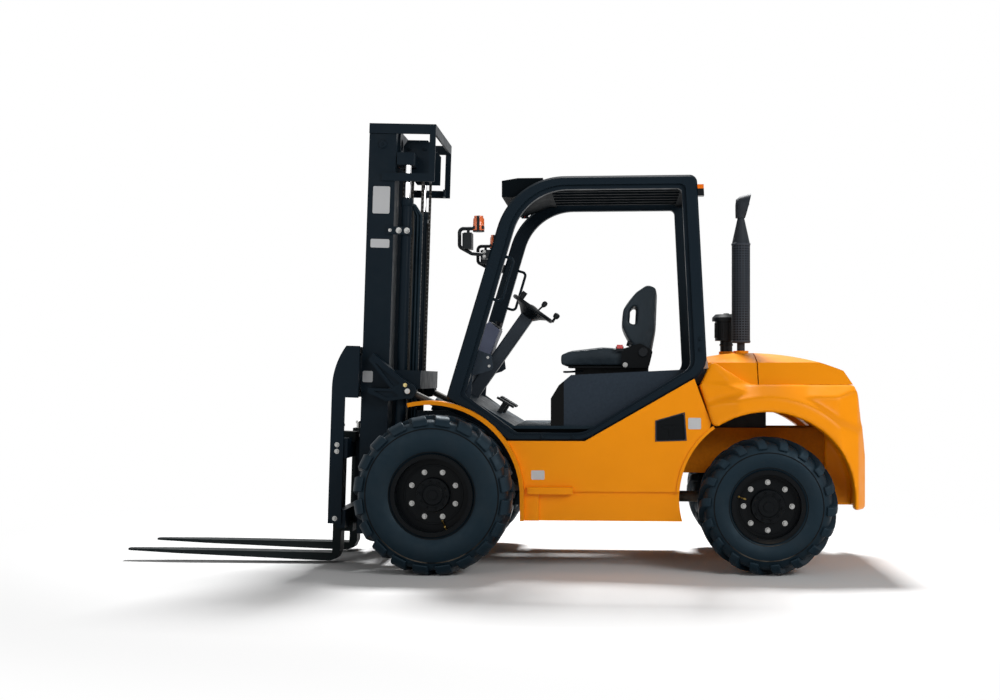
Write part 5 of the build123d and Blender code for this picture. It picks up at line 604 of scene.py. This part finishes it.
def make_pad(node, name, shrink, pressure, before, after):
    """Padded form of a CAD node: shrunk, remeshed, smoothed, swelled by a cloth run, smoothed again."""
    source = NODES[node]
    mesh = source.data.copy()
    mesh.name = name
    pad = bpy.data.objects.new(name, mesh)
    bpy.context.scene.collection.objects.link(pad)
    mesh.transform(source.matrix_world)
    low = Vector([min(vert.co[axis] for vert in mesh.vertices) for axis in range(3)])
    high = Vector([max(vert.co[axis] for vert in mesh.vertices) for axis in range(3)])
    middle = (low + high) / 2
    for vert in mesh.vertices:
        for axis in range(3):
            half = (high[axis] - low[axis]) / 2
            vert.co[axis] = middle[axis] + (vert.co[axis] - middle[axis]) * (half - shrink) / half
    bpy.context.view_layer.objects.active = pad
    pad.select_set(True)
    mesh.materials.clear()
    mesh.materials.append(VINYL)
    apply_modifier(pad, "REMESH", mode="VOXEL", voxel_size=PAD_VOXEL)
    apply_modifier(pad, "SMOOTH", iterations=before)
    swell(pad, pressure)
    apply_modifier(pad, "SMOOTH", iterations=after)
    pad.modifiers.new("round", "SUBSURF").levels = 1
    for face in pad.data.polygons:
        face.use_smooth = True
    pad.select_set(False)
    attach(pad, "chassis")
    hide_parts(node)


make_pad("seat_cushion", "cushion_pad", 0.003, 1.6, 10, 8)
make_pad("seat_back", "back_pad", 0.002, 1.4, 24, 16)


# Lift chains: leaf links on pins, in place of the notched strips

LEAN_TURN = Matrix.Translation(MAST_PIVOT) @ Matrix.Rotation(-MAST_LEAN, 4, "Y") @ Matrix.Translation(-MAST_PIVOT)
CHAIN_PITCH = 0.0254
CHAIN_Y = 0.180
LINK_HALF = 0.0013
LINK_END = 0.0045
EVEN_LANES = (-0.0100, -0.0034, 0.0034, 0.0100)
ODD_LANES = (-0.0067, 0.0, 0.0067)
SHEAVE_FORWARD = 0.263
SHEAVE_HEIGHT = 2.4625
CHAIN_OFF = 0.0563
CHAIN_ANCHOR = 1.180
CARRIAGE_ANCHOR = 0.540


def lift_point(forward, height):
    """Point of the upright mast, leaned back about its pivot: forward of the front axle and above the ground."""
    arm = Vector((FRONT_AXLE.x + forward - MAST_PIVOT.x, 0.0, height - MAST_PIVOT.z))
    return MAST_PIVOT + Matrix.Rotation(-MAST_LEAN, 3, "Y") @ arm


def chain_run(shape, forward, low, y, back, front):
    """Leaf chain up to the wheel: plates side by side in turn, and a pin at each pitch."""
    count = max(int(round((SHEAVE_HEIGHT - low) / CHAIN_PITCH)), 1)
    pitch = (SHEAVE_HEIGHT - low) / count
    x = FRONT_AXLE.x + forward
    for number in range(count):
        foot = low + number * pitch
        for lane in EVEN_LANES if number % 2 == 0 else ODD_LANES:
            shape.block((x - back, y + lane - LINK_HALF, foot - LINK_END),
                        (x + front, y + lane + LINK_HALF, foot + pitch + LINK_END), LEAN_TURN)
        pin = LEAN_TURN @ Vector((x + (front - back) / 2, y - 0.0130, foot))
        start = len(shape.faces)
        shape.turned(pin, (0, 1, 0), [(0, 0.0050), (0.001, 0.0055), (0.025, 0.0055), (0.026, 0.0050)], 10)
        shape.bright.extend(range(start, len(shape.faces)))


def chain_piece(name, node, forward, low, back, front):
    """Both chains of one run as a mesh that replaces a node, with bright pins."""
    shape = Shape()
    for y in (CHAIN_Y, -CHAIN_Y):
        chain_run(shape, forward, low, y, back, front)
    mesh = bpy.data.meshes.new(name)
    mesh.from_pydata([tuple(vert) for vert in shape.verts], [], shape.faces)
    mesh.materials.append(DARK_STEEL)
    mesh.materials.append(PIN_STEEL)
    for face in shape.bright:
        mesh.polygons[face].material_index = 1
    piece = bpy.data.objects.new(name, mesh)
    bpy.context.scene.collection.objects.link(piece)
    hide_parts(node)
    return piece


rear_chain = chain_piece("lift_chain_links_rear", "chains_rear", SHEAVE_FORWARD - CHAIN_OFF, CHAIN_ANCHOR, 0.0085, 0.0062)
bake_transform(rear_chain)
front_chain = chain_piece("lift_chain_links_front", "chains_front", SHEAVE_FORWARD + CHAIN_OFF, CARRIAGE_ANCHOR,
                          0.0058, 0.0100)
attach(front_chain, "inner_mast")
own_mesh(front_chain)


# Fittings: gathered by finish and body, one mesh each

FITTINGS = {}
SLOT_OF = {STEEL: "steel", DARK_STEEL: "steel", BRASS: "steel", YELLOW_ZINC: "steel", PLATE: "steel",
           BLACK: "black_paint", GLOSS: "black_paint", PLASTIC: "plastic", RED_GLOWING: "amber_lamp", AMBER: "amber_lamp",
           GLASS: "plastic", EXHAUST: "exhaust_black", SHIELD: "exhaust_black", GREY: "grey_sheet", CAST: "cast_iron",
           RIM: "rim_black", TYRE: "tyre"}
# Faces that carry fittings, across from the middle
RAIL_Y = 0.404
BAND_Y = 0.416
BRACKET_Y = 0.502
GUARD_Y = 0.610
TANK_Y = 0.620
BACKREST_Y = 0.520
HEAD_Y = 0.232
COWL_Y = 0.497
LAMP_Y = 0.5725
SEAT_Y = 0.266
CYLINDER = (0.272, 0.372)
TILT_PIN = (0.2136, 1.0546)
HOSE_RUNS = (0.2385, 0.2170, 0.1955)
HOSE_END = 0.270
COLUMN_RAKE = math.radians(35.3)
FLOOR_TOP = 0.850
TOE_RISE = 1.085 - FLOOR_TOP
TOE_BEND = 0.448
TOE_RUN = TOE_BEND - 0.060
PLATE_THICKNESS = 0.0012


def fittings(material, body="chassis"):
    """The shape that gathers small fittings of one finish on one body."""
    return FITTINGS.setdefault((material, body), Shape())


def on_side(behind, y, height):
    """Point on the machine, from the front axle back."""
    return Vector((station(behind), y, height))


def on_mast(forward, y, height):
    """Point on the mast, given upright."""
    point = lift_point(forward, height)
    return Vector((point.x, y, point.z))


def outlined(points, y, inset):
    """Corners of a side outline, pulled towards its middle."""
    middle = [sum(point[axis] for point in points) / len(points) for axis in (0, 1)]
    return [on_side(middle[0] + (behind - middle[0]) * (1 - inset), y, middle[1] + (height - middle[1]) * (1 - inset))
            for behind, height in points]


def cut_corners(length, low, high, cut):
    """Rectangle with its corners cut off, as (along, height)."""
    return ((cut, low), (length - cut, low), (length, low + cut), (length, high - cut), (length - cut, high),
            (cut, high), (0, high - cut), (0, low + cut))


def dress_mast(side):
    out = Vector((0, side, 0))
    mast = "outer_mast"
    for height in (2.024, 0.724):
        for forward, across in ((0.262, 0.024), (0.312, 0.024), (0.366, 0.014)):
            fittings(STEEL, mast).bolt(on_mast(forward, side * BAND_Y, height), out, across, across * 0.55)
    # Keeper plate and bolt of the tilt pin
    pin_x, pin_z = TILT_PIN
    keeper = ((-0.022, -0.022), (0.012, -0.028), (0.028, -0.004), (0.030, 0.040), (0.010, 0.052), (-0.012, 0.030),
              (-0.030, 0.004))
    keeper_y = side * (BRACKET_Y + 0.006)
    fittings(BLACK, mast).plate([on_mast(pin_x + x, side * BRACKET_Y, pin_z + z) for x, z in keeper], out, 0.006)
    fittings(STEEL, mast).turned(on_mast(pin_x, keeper_y, pin_z), out, [(0, 0.017), (0.010, 0.017), (0.012, 0.015)], 24)
    fittings(YELLOW_ZINC, mast).bolt(on_mast(pin_x + 0.016, keeper_y, pin_z + 0.036), out, 0.016, 0.010)
    # Ends of the roller pins on the rail
    for height in (0.292, 2.545, 0.560):
        fittings(BLACK, mast).turned(on_mast(0.4285, side * RAIL_Y, height), out,
                                     [(0, 0.026), (0.006, 0.026), (0.009, 0.022), (0.009, 0.008), (0.006, 0.007)], 28)
    # Gland and foot rings of the lift cylinder, the oil pipe beside it, and hoses on the left
    for low, length, radius in ((2.176, 0.050, 0.0355), (0.232, 0.030, 0.0350)):
        fittings(BLACK, mast).turned(on_mast(CYLINDER[0], side * CYLINDER[1], low), LIFT_WAY, [
            (0, radius - 0.002), (0.003, radius), (length - 0.003, radius), (length, radius - 0.002),
            (length, 0.0215)], 36)
    pipe = [on_mast(0.2335, side * 0.350, height) for height in (0.30, 0.60, 1.0, 1.5, 1.95, 2.10)]
    fittings(DARK_STEEL, mast).tube(pipe + [on_mast(0.238, side * 0.356, 2.150)], 0.0065, 10)
    for run in HOSE_RUNS if side > 0 else ():
        bend = (run + HOSE_END) / 2
        hose = ((HOSE_END, 0.348, 0.247), (bend, 0.318, 0.262), (run, 0.298, 0.310), (run, 0.290, 0.380),
                (run, 0.290, 1.000), (run, 0.290, 2.060), (run, 0.298, 2.130), (bend, 0.318, 2.186),
                (HOSE_END, 0.348, 2.200))
        fittings(TYRE, mast).tube([on_mast(forward, side * y, height) for forward, y, height in hose], 0.0110, 14)
    # Threaded end and nuts under the chain anchor
    foot = on_mast(SHEAVE_FORWARD - CHAIN_OFF, side * CHAIN_Y, 1.140)
    fittings(STEEL, mast).turned(foot, -LIFT_WAY, [(0, 0.008), (0.062, 0.008), (0.064, 0.006)], 14)
    for drop, height in ((0.0, 0.014), (0.018, 0.010)):
        fittings(STEEL, mast).turned(foot - LIFT_WAY * drop, -LIFT_WAY, [(0, 0.015), (height, 0.015)], 6)
    # Plate beside the chain wheel
    head = ((0.150, 2.385), (0.300, 2.385), (0.312, 2.400), (0.325, 2.560), (0.300, 2.600), (0.175, 2.600),
            (0.150, 2.570))
    corners = [on_mast(forward, side * HEAD_Y, height) for forward, height in head]
    fittings(BLACK, "inner_mast").plate(corners, out, 0.008)
    for forward, height in ((0.290, 2.545), (0.190, 2.545), (0.290, 2.400)):
        fittings(BLACK, "inner_mast").bolt(on_mast(forward, side * (HEAD_Y + 0.008), height), out, 0.018, 0.010)
    # Blank plates on the rail
    for forward, *size in ((0.374, 0.104, 2.125, 2.290), (0.368, 0.116, 1.918, 1.970), (0.444, 0.062, 1.100, 1.168)):
        corners = [on_mast(forward + x, side * RAIL_Y, z) for x, z in cut_corners(*size, 0.006)]
        fittings(PLATE, mast).plate(corners, out, PLATE_THICKNESS)
    # Bolts of the backrest, and pins of the forks
    for height in (0.720, 0.680, 0.277):
        fittings(STEEL, "carriage").bolt(on_mast(0.628, side * BACKREST_Y, height), out, 0.020, 0.012)
    fittings(STEEL, "carriage").turned(on_mast(0.645, side * 0.287, 0.794), LIFT_WAY, [
        (0, 0.012), (0.030, 0.012), (0.030, 0.018), (0.044, 0.018), (0.047, 0.014)], 20)


def dress_side(side):
    out = Vector((0, side, 0))
    # Rim round the latch recess
    recess = ((1.284, 0.883), (1.446, 0.930), (1.457, 0.773), (1.284, 0.767))
    outer = outlined(recess, side * TANK_Y, -0.055)
    inner = outlined(recess, side * TANK_Y, 0.040)
    for place in range(4):
        after = (place + 1) % 4
        fittings(GREY).plate([outer[place], outer[after], inner[after], inner[place]], out, 0.004)
    # Bolts of the guard's feet
    for behind, height, across, high in ((0.62, 0.788, 0.019, 0.010), (0.80, 0.788, 0.019, 0.010),
                                         (1.541, 1.300, 0.017, 0.009), (1.541, 1.360, 0.017, 0.009)):
        fittings(BLACK).bolt(on_side(behind, side * GUARD_Y, height), out, across, high)
    # Blank plates on the side panel
    for behind, *size in ((0.556, 0.078, 0.538, 0.592), (1.470, 0.074, 0.836, 0.902)):
        corners = [on_side(behind + x, side * TANK_Y, z) for x, z in cut_corners(*size, 0.005)]
        fittings(PLATE).plate(corners, out, PLATE_THICKNESS)
    # Work lamp: bezel and crowned glass
    lamp_y = side * LAMP_Y
    face_x = station(0.158)
    for y_low, y_high, z_low, z_high in ((-0.052, 0.052, 1.898, 1.906), (-0.052, 0.052, 1.979, 1.987),
                                         (-0.052, -0.044, 1.906, 1.979), (0.044, 0.052, 1.906, 1.979)):
        fittings(PLASTIC).block((face_x, lamp_y + y_low, z_low), (face_x + 0.008, lamp_y + y_high, z_high))
    glass = []
    for row in range(7):
        for column in range(7):
            crown = 0.007 * (1 - (2 * column / 6 - 1) ** 2) * (1 - (2 * row / 6 - 1) ** 2)
            y = -0.044 + 0.088 * column / 6
            glass.append(Vector((face_x + 0.001 + crown, lamp_y + y, 1.906 + 0.073 * row / 6)))
    fittings(GLASS).add(glass, [(7 * row + column, 7 * row + column + 1, 7 * row + column + 8, 7 * row + column + 7)
                                for row in range(6) for column in range(6)])
    # Turn lamp: lens, dark band and foot
    fittings(AMBER).turned(on_side(0.242, lamp_y, 2.004), UP, [
        (0, 0.0330), (0.003, 0.0345), (0.070, 0.0325), (0.080, 0.0260), (0.083, 0.0180)], 36)
    fittings(PLASTIC).block((station(0.250), lamp_y - 0.0360, 2.003), (station(0.234), lamp_y + 0.0360, 2.090))
    fittings(PLASTIC).turned(on_side(0.242, lamp_y, 1.998), UP, [(0, 0.0340), (0.008, 0.0340), (0.010, 0.0320)], 36)
    for height in (1.850, 1.878):
        fittings(STEEL).bolt(on_side(0.278, side * 0.6025, height), out, 0.013, 0.007)


def dress_seat():
    """Hinge bolts, back adjusters with their handles, belt buckle and slide bar."""
    for _, side in SIDES:
        out = Vector((0, side, 0))
        fittings(STEEL).bolt(on_side(1.107, side * SEAT_Y, 1.214), out, 0.020, 0.010)
        fittings(PLASTIC).turned(on_side(1.215, side * SEAT_Y, 1.290), out, [
            (0, 0.030), (0.010, 0.030), (0.014, 0.025)], 28)
        fittings(PLASTIC).tube([on_side(1.150, side * 0.258, 1.340), on_side(1.120, side * 0.262, 1.352)], 0.010, 10)
    fittings(PLASTIC).block(on_side(1.098, 0.250, 1.296), on_side(1.050, 0.272, 1.326))
    # The red part of the buckle glows faintly: painted light.
    fittings(RED_GLOWING).block(on_side(1.093, 0.253, 1.314), on_side(1.056, 0.2745, 1.336))
    bar = ((0.850, 0.170, 1.178), (0.760, 0.170, 1.172), (0.735, 0.165, 1.172), (0.730, 0.140, 1.172),
           (0.730, -0.140, 1.172), (0.735, -0.165, 1.172), (0.850, -0.170, 1.178))
    fittings(BLACK).tube([on_side(*point) for point in bar], 0.006, 10)


def dress_pod():
    """Instruments: dials with rims, a row of switches, the key."""
    face_low = on_side(0.330, 0.0, 1.432)
    face_high = on_side(0.262, 0.0, 1.487)
    up_face = (face_high - face_low).normalized()
    normal = Vector((-(face_high - face_low).z, 0, (face_high - face_low).x)).normalized()
    middle = (face_low + face_high) / 2
    for y, radius in ((0.055, 0.028), (-0.015, 0.028), (-0.070, 0.017)):
        centre = middle + Vector((0, y, 0)) + normal * 0.0005
        rim = radius + 0.005
        fittings(PLASTIC).turned(centre, normal, [(0, rim), (0.006, rim), (0.008, radius + 0.002), (0.004, radius)], 36)
        fittings(PLATE).turned(centre + normal * 0.0035, normal, [(0, radius - 0.002), (0.001, radius - 0.004)], 36)
        fittings(PLASTIC).turned(centre + normal * 0.005, normal, [(0, 0.004), (0.002, 0.003)], 12)
    for number in range(4):
        centre = middle - up_face * 0.034 + Vector((0, 0.075 - 0.022 * number, 0))
        fittings(GLOSS).turned(centre, normal, [(0, 0.007), (0.004, 0.006)], 4)
    fittings(STEEL).turned(middle - up_face * 0.032 + Vector((0, -0.085, 0)), normal, [
        (0, 0.009), (0.004, 0.009), (0.004, 0.006), (0.012, 0.006)], 20)


def dress_controls():
    """Horn button, lever boots, floor mat, pedal treads, red lamp, dish and knob of the hand wheel, direction lever."""
    column = Vector((-math.sin(COLUMN_RAKE), 0, math.cos(COLUMN_RAKE)))
    hub = on_side(0.530, 0.0, 1.570) + column * 0.0085
    wheel = "steering_wheel"
    fittings(GLOSS, wheel).turned(hub, column, [(0, 0.030), (0.006, 0.029), (0.010, 0.020), (0.0115, 0.008)], 36)
    for y in (-0.190, -0.250, -0.310):
        fittings(TYRE).turned(on_side(0.230, y, 1.2777), (-0.3035, 0, 0.9528), [
            (0.001, 0.026), (0.008, 0.024), (0.012, 0.018), (0.018, 0.019), (0.024, 0.013), (0.030, 0.014),
            (0.038, 0.008)], 24)
    mat_top = FLOOR_TOP + 0.003
    fittings(TYRE).block((station(0.660), -0.47, FLOOR_TOP), (station(0.452), 0.47, mat_top))
    for number in range(46):
        y = -0.45 + 0.02 * number
        fittings(TYRE).block((station(0.652), y - 0.004, mat_top), (station(0.460), y + 0.004, mat_top + 0.0025))
    board = Vector((-TOE_RISE, 0, TOE_RUN)).normalized()
    along = Vector((board.z, 0, -board.x))
    tread = ((-0.005, -0.028), (0.005, -0.028), (0.005, 0.028), (-0.005, 0.028))
    for y in (0.130, -0.130, -0.220):
        foot = on_side(0.330, y, FLOOR_TOP + TOE_RISE / TOE_RUN * (TOE_BEND - 0.330))
        for number in range(6):
            centre = foot + board * 0.078 + along * (-0.045 + 0.018 * number)
            fittings(TYRE).plate([centre + along * x + Vector((0, 1, 0)) * w for x, w in tread], board, 0.0015)
    fittings(PLASTIC).block((station(0.470), -0.536, 2.196), (station(0.425), -0.508, 2.246))
    fittings(RED_GLOWING).turned(on_side(0.444, -0.508, 2.226), (0, 1, 0), [(0, 0.020), (0.006, 0.019), (0.012, 0.010)], 20)
    fittings(PLASTIC, wheel).turned(hub - column * 0.012, -column, [
        (0, 0.118), (0.004, 0.120), (0.030, 0.078), (0.060, 0.048), (0.064, 0.040)], 48)
    fittings(PLASTIC, wheel).turned(hub + Vector((-column.z, 0, column.x)) * 0.148, column, [
        (-0.008, 0.009), (0.020, 0.008), (0.024, 0.017), (0.042, 0.021), (0.052, 0.018), (0.057, 0.009)], 24)
    lever = ((0.478, -0.030, 1.496), (0.520, -0.085, 1.530), (0.560, -0.165, 1.572), (0.590, -0.205, 1.604))
    fittings(PLASTIC).tube([on_side(*point) for point in lever], 0.006, 10)
    fittings(PLASTIC).turned(on_side(0.586, -0.202, 1.600), (-0.5, -0.45, 0.6), [
        (-0.012, 0.008), (0.0, 0.015), (0.016, 0.018), (0.028, 0.014), (0.032, 0.007)], 20)


def dress_cowl():
    """Side plates with a row of bolts."""
    edge = ((0.150, 1.300), (0.229, 1.303), (0.312, 1.271), (0.322, 1.195), (0.293, 1.176), (0.205, 1.150),
            (0.170, 1.120), (0.128, 1.120))
    for _, side in SIDES:
        out = Vector((0, side, 0))
        fittings(GREY).plate([on_side(behind, side * COWL_Y, height) for behind, height in edge], out, 0.004)
        for behind, height in ((0.180, 1.280), (0.290, 1.256), (0.298, 1.205)):
            fittings(STEEL).bolt(on_side(behind, side * (COWL_Y + 0.004), height), out, 0.011, 0.006)


SILENCER = (station(1.813), 0.150)
SHIELD_LOW = 1.362
SHIELD_HIGH = 1.946
SHIELD_RADIUS = 0.0558
SHIELD_CLAMP = 0.0582
SHIELD_COLUMNS = 20
SHIELD_ROWS = 38
SHIELD_HOLE = 0.58
# Hood over the tail: lower lip, then (behind, height, half width) of the walls from the neck to the mouth
TAIL_LIP = (1.838, 2.112)
TAIL_WALLS = ((1.780, 2.112, 0.030), (1.779, 2.150, 0.034), (1.779, 2.190, 0.038), (1.783, 2.226, 0.042),
              (1.806, 2.243, 0.044), (1.840, 2.254, 0.045), (1.876, 2.262, 0.046))
TAIL_STEPS = 32
TAIL_BORE = 0.90
CLEANER = (station(1.740), -0.060)
CLEANER_FINS = 28


def dress_shield():
    """Perforated shield round the silencer, and its clamps."""
    shield = fittings(SHIELD)
    pitch = (SHIELD_HIGH - SHIELD_LOW) / SHIELD_ROWS
    turn = 2 * math.pi / SHIELD_COLUMNS
    shares = (0.0, (1 - SHIELD_HOLE) / 2, (1 + SHIELD_HOLE) / 2, 1.0)
    x, y = SILENCER
    for column in range(SHIELD_COLUMNS):
        edges = [turn * (column + share) for share in shares]
        for row in range(SHIELD_ROWS):
            levels = [SHIELD_LOW + pitch * (row + share) for share in shares]
            grid = [Vector((x + SHIELD_RADIUS * math.cos(angle), y + SHIELD_RADIUS * math.sin(angle), z))
                    for z in levels for angle in edges]
            shield.add(grid, [(4 * line + place, 4 * line + place + 1, 4 * line + place + 5, 4 * line + place + 4)
                              for line in range(3) for place in range(3) if (line, place) != (1, 1)])
    for z in (1.350, 1.944):
        shield.turned((x, y, z), UP, [(0, SHIELD_CLAMP - 0.003), (0.002, SHIELD_CLAMP), (0.012, SHIELD_CLAMP),
                                      (0.014, SHIELD_CLAMP - 0.003)], 40)


def tail_ring(behind, height, half, scale):
    """Section of the tail's hood, between its lip and a point of its wall."""
    ring = []
    for step in range(TAIL_STEPS):
        angle = 2 * math.pi * step / TAIL_STEPS
        share = 0.5 + 0.5 * scale * math.cos(angle)
        ring.append(on_side(TAIL_LIP[0] + (behind - TAIL_LIP[0]) * share, SILENCER[1] + scale * half * math.sin(angle),
                            TAIL_LIP[1] + (height - TAIL_LIP[1]) * share))
    return ring


def dress_stack():
    """Hood over the exhaust's tail, a dark sleeve under its shield that paints the shade seen through its holes, fins
    and bands of the air pre-cleaner.
    """
    outer = [tail_ring(*wall, 1.0) for wall in TAIL_WALLS]
    inner = [tail_ring(*wall, TAIL_BORE) for wall in TAIL_WALLS]
    fittings(EXHAUST).skin(outer + inner[:2:-1])
    length = SHIELD_HIGH - SHIELD_LOW
    # Dark sleeve between shield and silencer: painted shade, seen through the holes.
    shade_sleeve = [(0, 0.0532), (0, 0.0546), (length, 0.0546), (length, 0.0532)]
    fittings(RIM).hoop((*SILENCER, SHIELD_LOW), UP, shade_sleeve, 40)
    fins = fittings(PLASTIC)
    for number in range(CLEANER_FINS):
        turn = Matrix.Translation((*CLEANER, 0)) @ Matrix.Rotation(2 * math.pi * number / CLEANER_FINS, 4, "Z")
        fins.block((0.068, -0.0025, 1.385), (0.0735, 0.0025, 1.478), turn)
    fins.turned((*CLEANER, 1.335), UP, [(0, 0.040), (0.002, 0.042), (0.012, 0.042), (0.014, 0.040)], 30)
    fins.turned((*CLEANER, 1.532), UP, [(0, 0.020), (0.006, 0.018), (0.008, 0.012)], 20)


def dress_rear():
    """Tow pin, reflectors that glow faintly as painted light, and the bolts of the grille."""
    fittings(STEEL).turned(on_side(2.470, 0.0, 0.400), UP, [(0, 0.014), (0.004, 0.0165), (0.105, 0.0165)], 24)
    for _, side in SIDES:
        for height in (0.655, 0.945):
            for y in (0.10, 0.205):
                fittings(STEEL).bolt(on_side(2.444, side * y, height), REARWARD, 0.012, 0.006)
        # Reflector lenses glow faintly: painted light.
        fittings(RED_GLOWING).turned(on_side(2.4985, side * 0.330, 0.700), (-1, 0, 0.14), [
            (0, 0.036), (0.006, 0.036), (0.009, 0.031)], 36)


def dress_underside():
    """Bolt rings of the axle housings, ribs of the gearbox and the cover of the engine."""
    for axle, way, reach, ring, count in ((FRONT_AXLE, 1, 0.118, 0.098, 12), (REAR_AXLE, -1, 0.097, 0.080, 10)):
        face = Vector((axle.x + way * reach, 0, axle.z))
        fittings(CAST).turned(face, (way, 0, 0), [(-0.02, ring + 0.020), (0.012, ring + 0.018), (0.020, ring + 0.004),
                                                  (0.030, ring - 0.020), (0.034, 0.02)], 40)
        circle = ring + 0.010
        for number in range(count):
            angle = 2 * math.pi * number / count
            seat = face + Vector((way * 0.012, circle * math.cos(angle), circle * math.sin(angle)))
            fittings(STEEL).bolt(seat, (way, 0, 0), 0.014, 0.008)
    for number in range(5):
        x = station(0.95 + 0.06 * number)
        fittings(CAST).block((x - 0.006, -0.181, 0.40), (x + 0.006, 0.181, 0.65))
    cover_top = 1.150
    fittings(CAST).block((station(1.93), -0.085, cover_top - 0.020), (station(1.40), 0.085, cover_top))
    for number in range(5):
        for y in (0.073, -0.073):
            fittings(STEEL).bolt(on_side(1.42 + 0.122 * number, y, cover_top), UP, 0.012, 0.006)
    fittings(BRASS).turned(on_side(1.47, 0.0, cover_top), UP, [
        (0, 0.024), (0.006, 0.026), (0.018, 0.026), (0.020, 0.022)], 12)


for _, side_sign in SIDES:
    dress_mast(side_sign)
    dress_side(side_sign)
for dress in (dress_seat, dress_pod, dress_controls, dress_cowl, dress_shield, dress_stack, dress_rear,
              dress_underside):
    dress()
for (fitting_material, fitting_body), fitting_shape in FITTINGS.items():
    fitting = fitting_shape.piece(f"{fitting_material.name}_fittings_{fitting_body}", fitting_material, fitting_body,
                                  SLOT_OF[fitting_material])
    if fitting_material in (PLASTIC, BLACK, TYRE):
        soften(fitting, 0.0012, 2, 50.0)


# Floor, light and camera

WHITE = (1.0, 1.0, 1.0, 1.0)
FLOOR_COLOUR = (0.86, 0.86, 0.86, 1.0)
FLOOR_NEAR = 2.6
FLOOR_FAR = 4.4
AMBIENT = 0.13
# Energy, size and place
LIGHTS = (
    (1050.0, 1.6, (-0.6, -3.4, 8.0)),
    (150.0, 2.2, (-4.6, 5.0, 3.6)),
    (90.0, 2.4, (3.6, 9.5, 4.2)),
    (60.0, 2.4, (-5.0, 9.5, 4.2)),
)
LIGHT_AIM = Vector((0.0, 0.0, 1.0))
CAMERA_BACK = 1.054
CAMERA_SIDE = 9.111
CAMERA_HEIGHT = 1.128
CAMERA_YAW = math.radians(4.59)
CAMERA_LENS = 52.2
CAMERA_SHIFT = 0.029


def white_where_seen(tree, kind, surface, factor=None):
    """Shader that is plain white to the camera, reflections and glass, and the given surface to all other light."""
    white = new_node(tree, kind, {"Color": WHITE, "Strength": 1.0})
    rays = new_node(tree, "LightPath", {}).outputs
    seen = rays["Is Camera Ray"]
    for ray in ("Is Glossy Ray", "Is Transmission Ray"):
        seen = combine(tree, "MAXIMUM", seen, rays[ray])
    if factor:
        seen = combine(tree, "MULTIPLY", seen, factor)
    return new_node(tree, "MixShader", {0: seen, 1: surface, 2: white.outputs[0]}).outputs["Shader"]


def make_floor():
    """Pale floor that keeps the machine's shadow and fades to white."""
    bpy.ops.mesh.primitive_circle_add(vertices=96, radius=40.0, fill_type="NGON", location=(0, 0, 0))
    floor = bpy.context.object
    floor.name = "floor"
    material, tree, place = new_material("floor")
    set_shader(tree, {"Base Color": FLOOR_COLOUR, "Roughness": 1.0, "Specular IOR Level": 0.0})
    distance = new_node(tree, "VectorMath", {0: place}, operation="LENGTH").outputs["Value"]
    fade = new_node(tree, "MapRange", {"From Min": FLOOR_NEAR, "From Max": FLOOR_FAR, "Value": distance},
                    interpolation_type="SMOOTHSTEP").outputs["Result"]
    surface = white_where_seen(tree, "Emission", tree.nodes["Principled BSDF"].outputs["BSDF"], fade)
    feed(tree, tree.nodes["Material Output"], {"Surface": surface})
    floor.data.materials.append(material)


def make_world():
    """White surroundings that light the machine only a little."""
    world = bpy.context.scene.world or bpy.data.worlds.new("world")
    bpy.context.scene.world = world
    world.use_nodes = True
    tree = world.node_tree
    feed(tree, tree.nodes["Background"], {"Color": WHITE, "Strength": AMBIENT})
    surface = white_where_seen(tree, "Background", tree.nodes["Background"].outputs["Background"])
    feed(tree, tree.nodes["World Output"], {"Surface": surface})


def make_lights():
    """Soft light from above and from the camera's side."""
    for number, (energy, size, place) in enumerate(LIGHTS):
        data = bpy.data.lights.new(f"softbox_{number}", "AREA")
        data.energy = energy
        data.size = size
        lamp = bpy.data.objects.new(f"softbox_{number}", data)
        lamp.location = place
        lamp.rotation_euler = (LIGHT_AIM - Vector(place)).to_track_quat("-Z", "Y").to_euler()
        bpy.context.scene.collection.objects.link(lamp)


def make_camera():
    """Camera at the photo's place, looking across the machine from its left."""
    data = bpy.data.cameras.new("camera")
    data.lens = CAMERA_LENS
    data.sensor_width = 36.0
    data.shift_y = CAMERA_SHIFT
    camera = bpy.data.objects.new("camera", data)
    camera.location = (station(CAMERA_BACK), CAMERA_SIDE, CAMERA_HEIGHT)
    camera.rotation_euler = (math.radians(90), 0.0, math.pi + CAMERA_YAW)
    bpy.context.scene.collection.objects.link(camera)
    bpy.context.scene.camera = camera


make_floor()
make_world()
make_lights()
make_camera()
bpy.context.scene.view_settings.view_transform = "Standard"
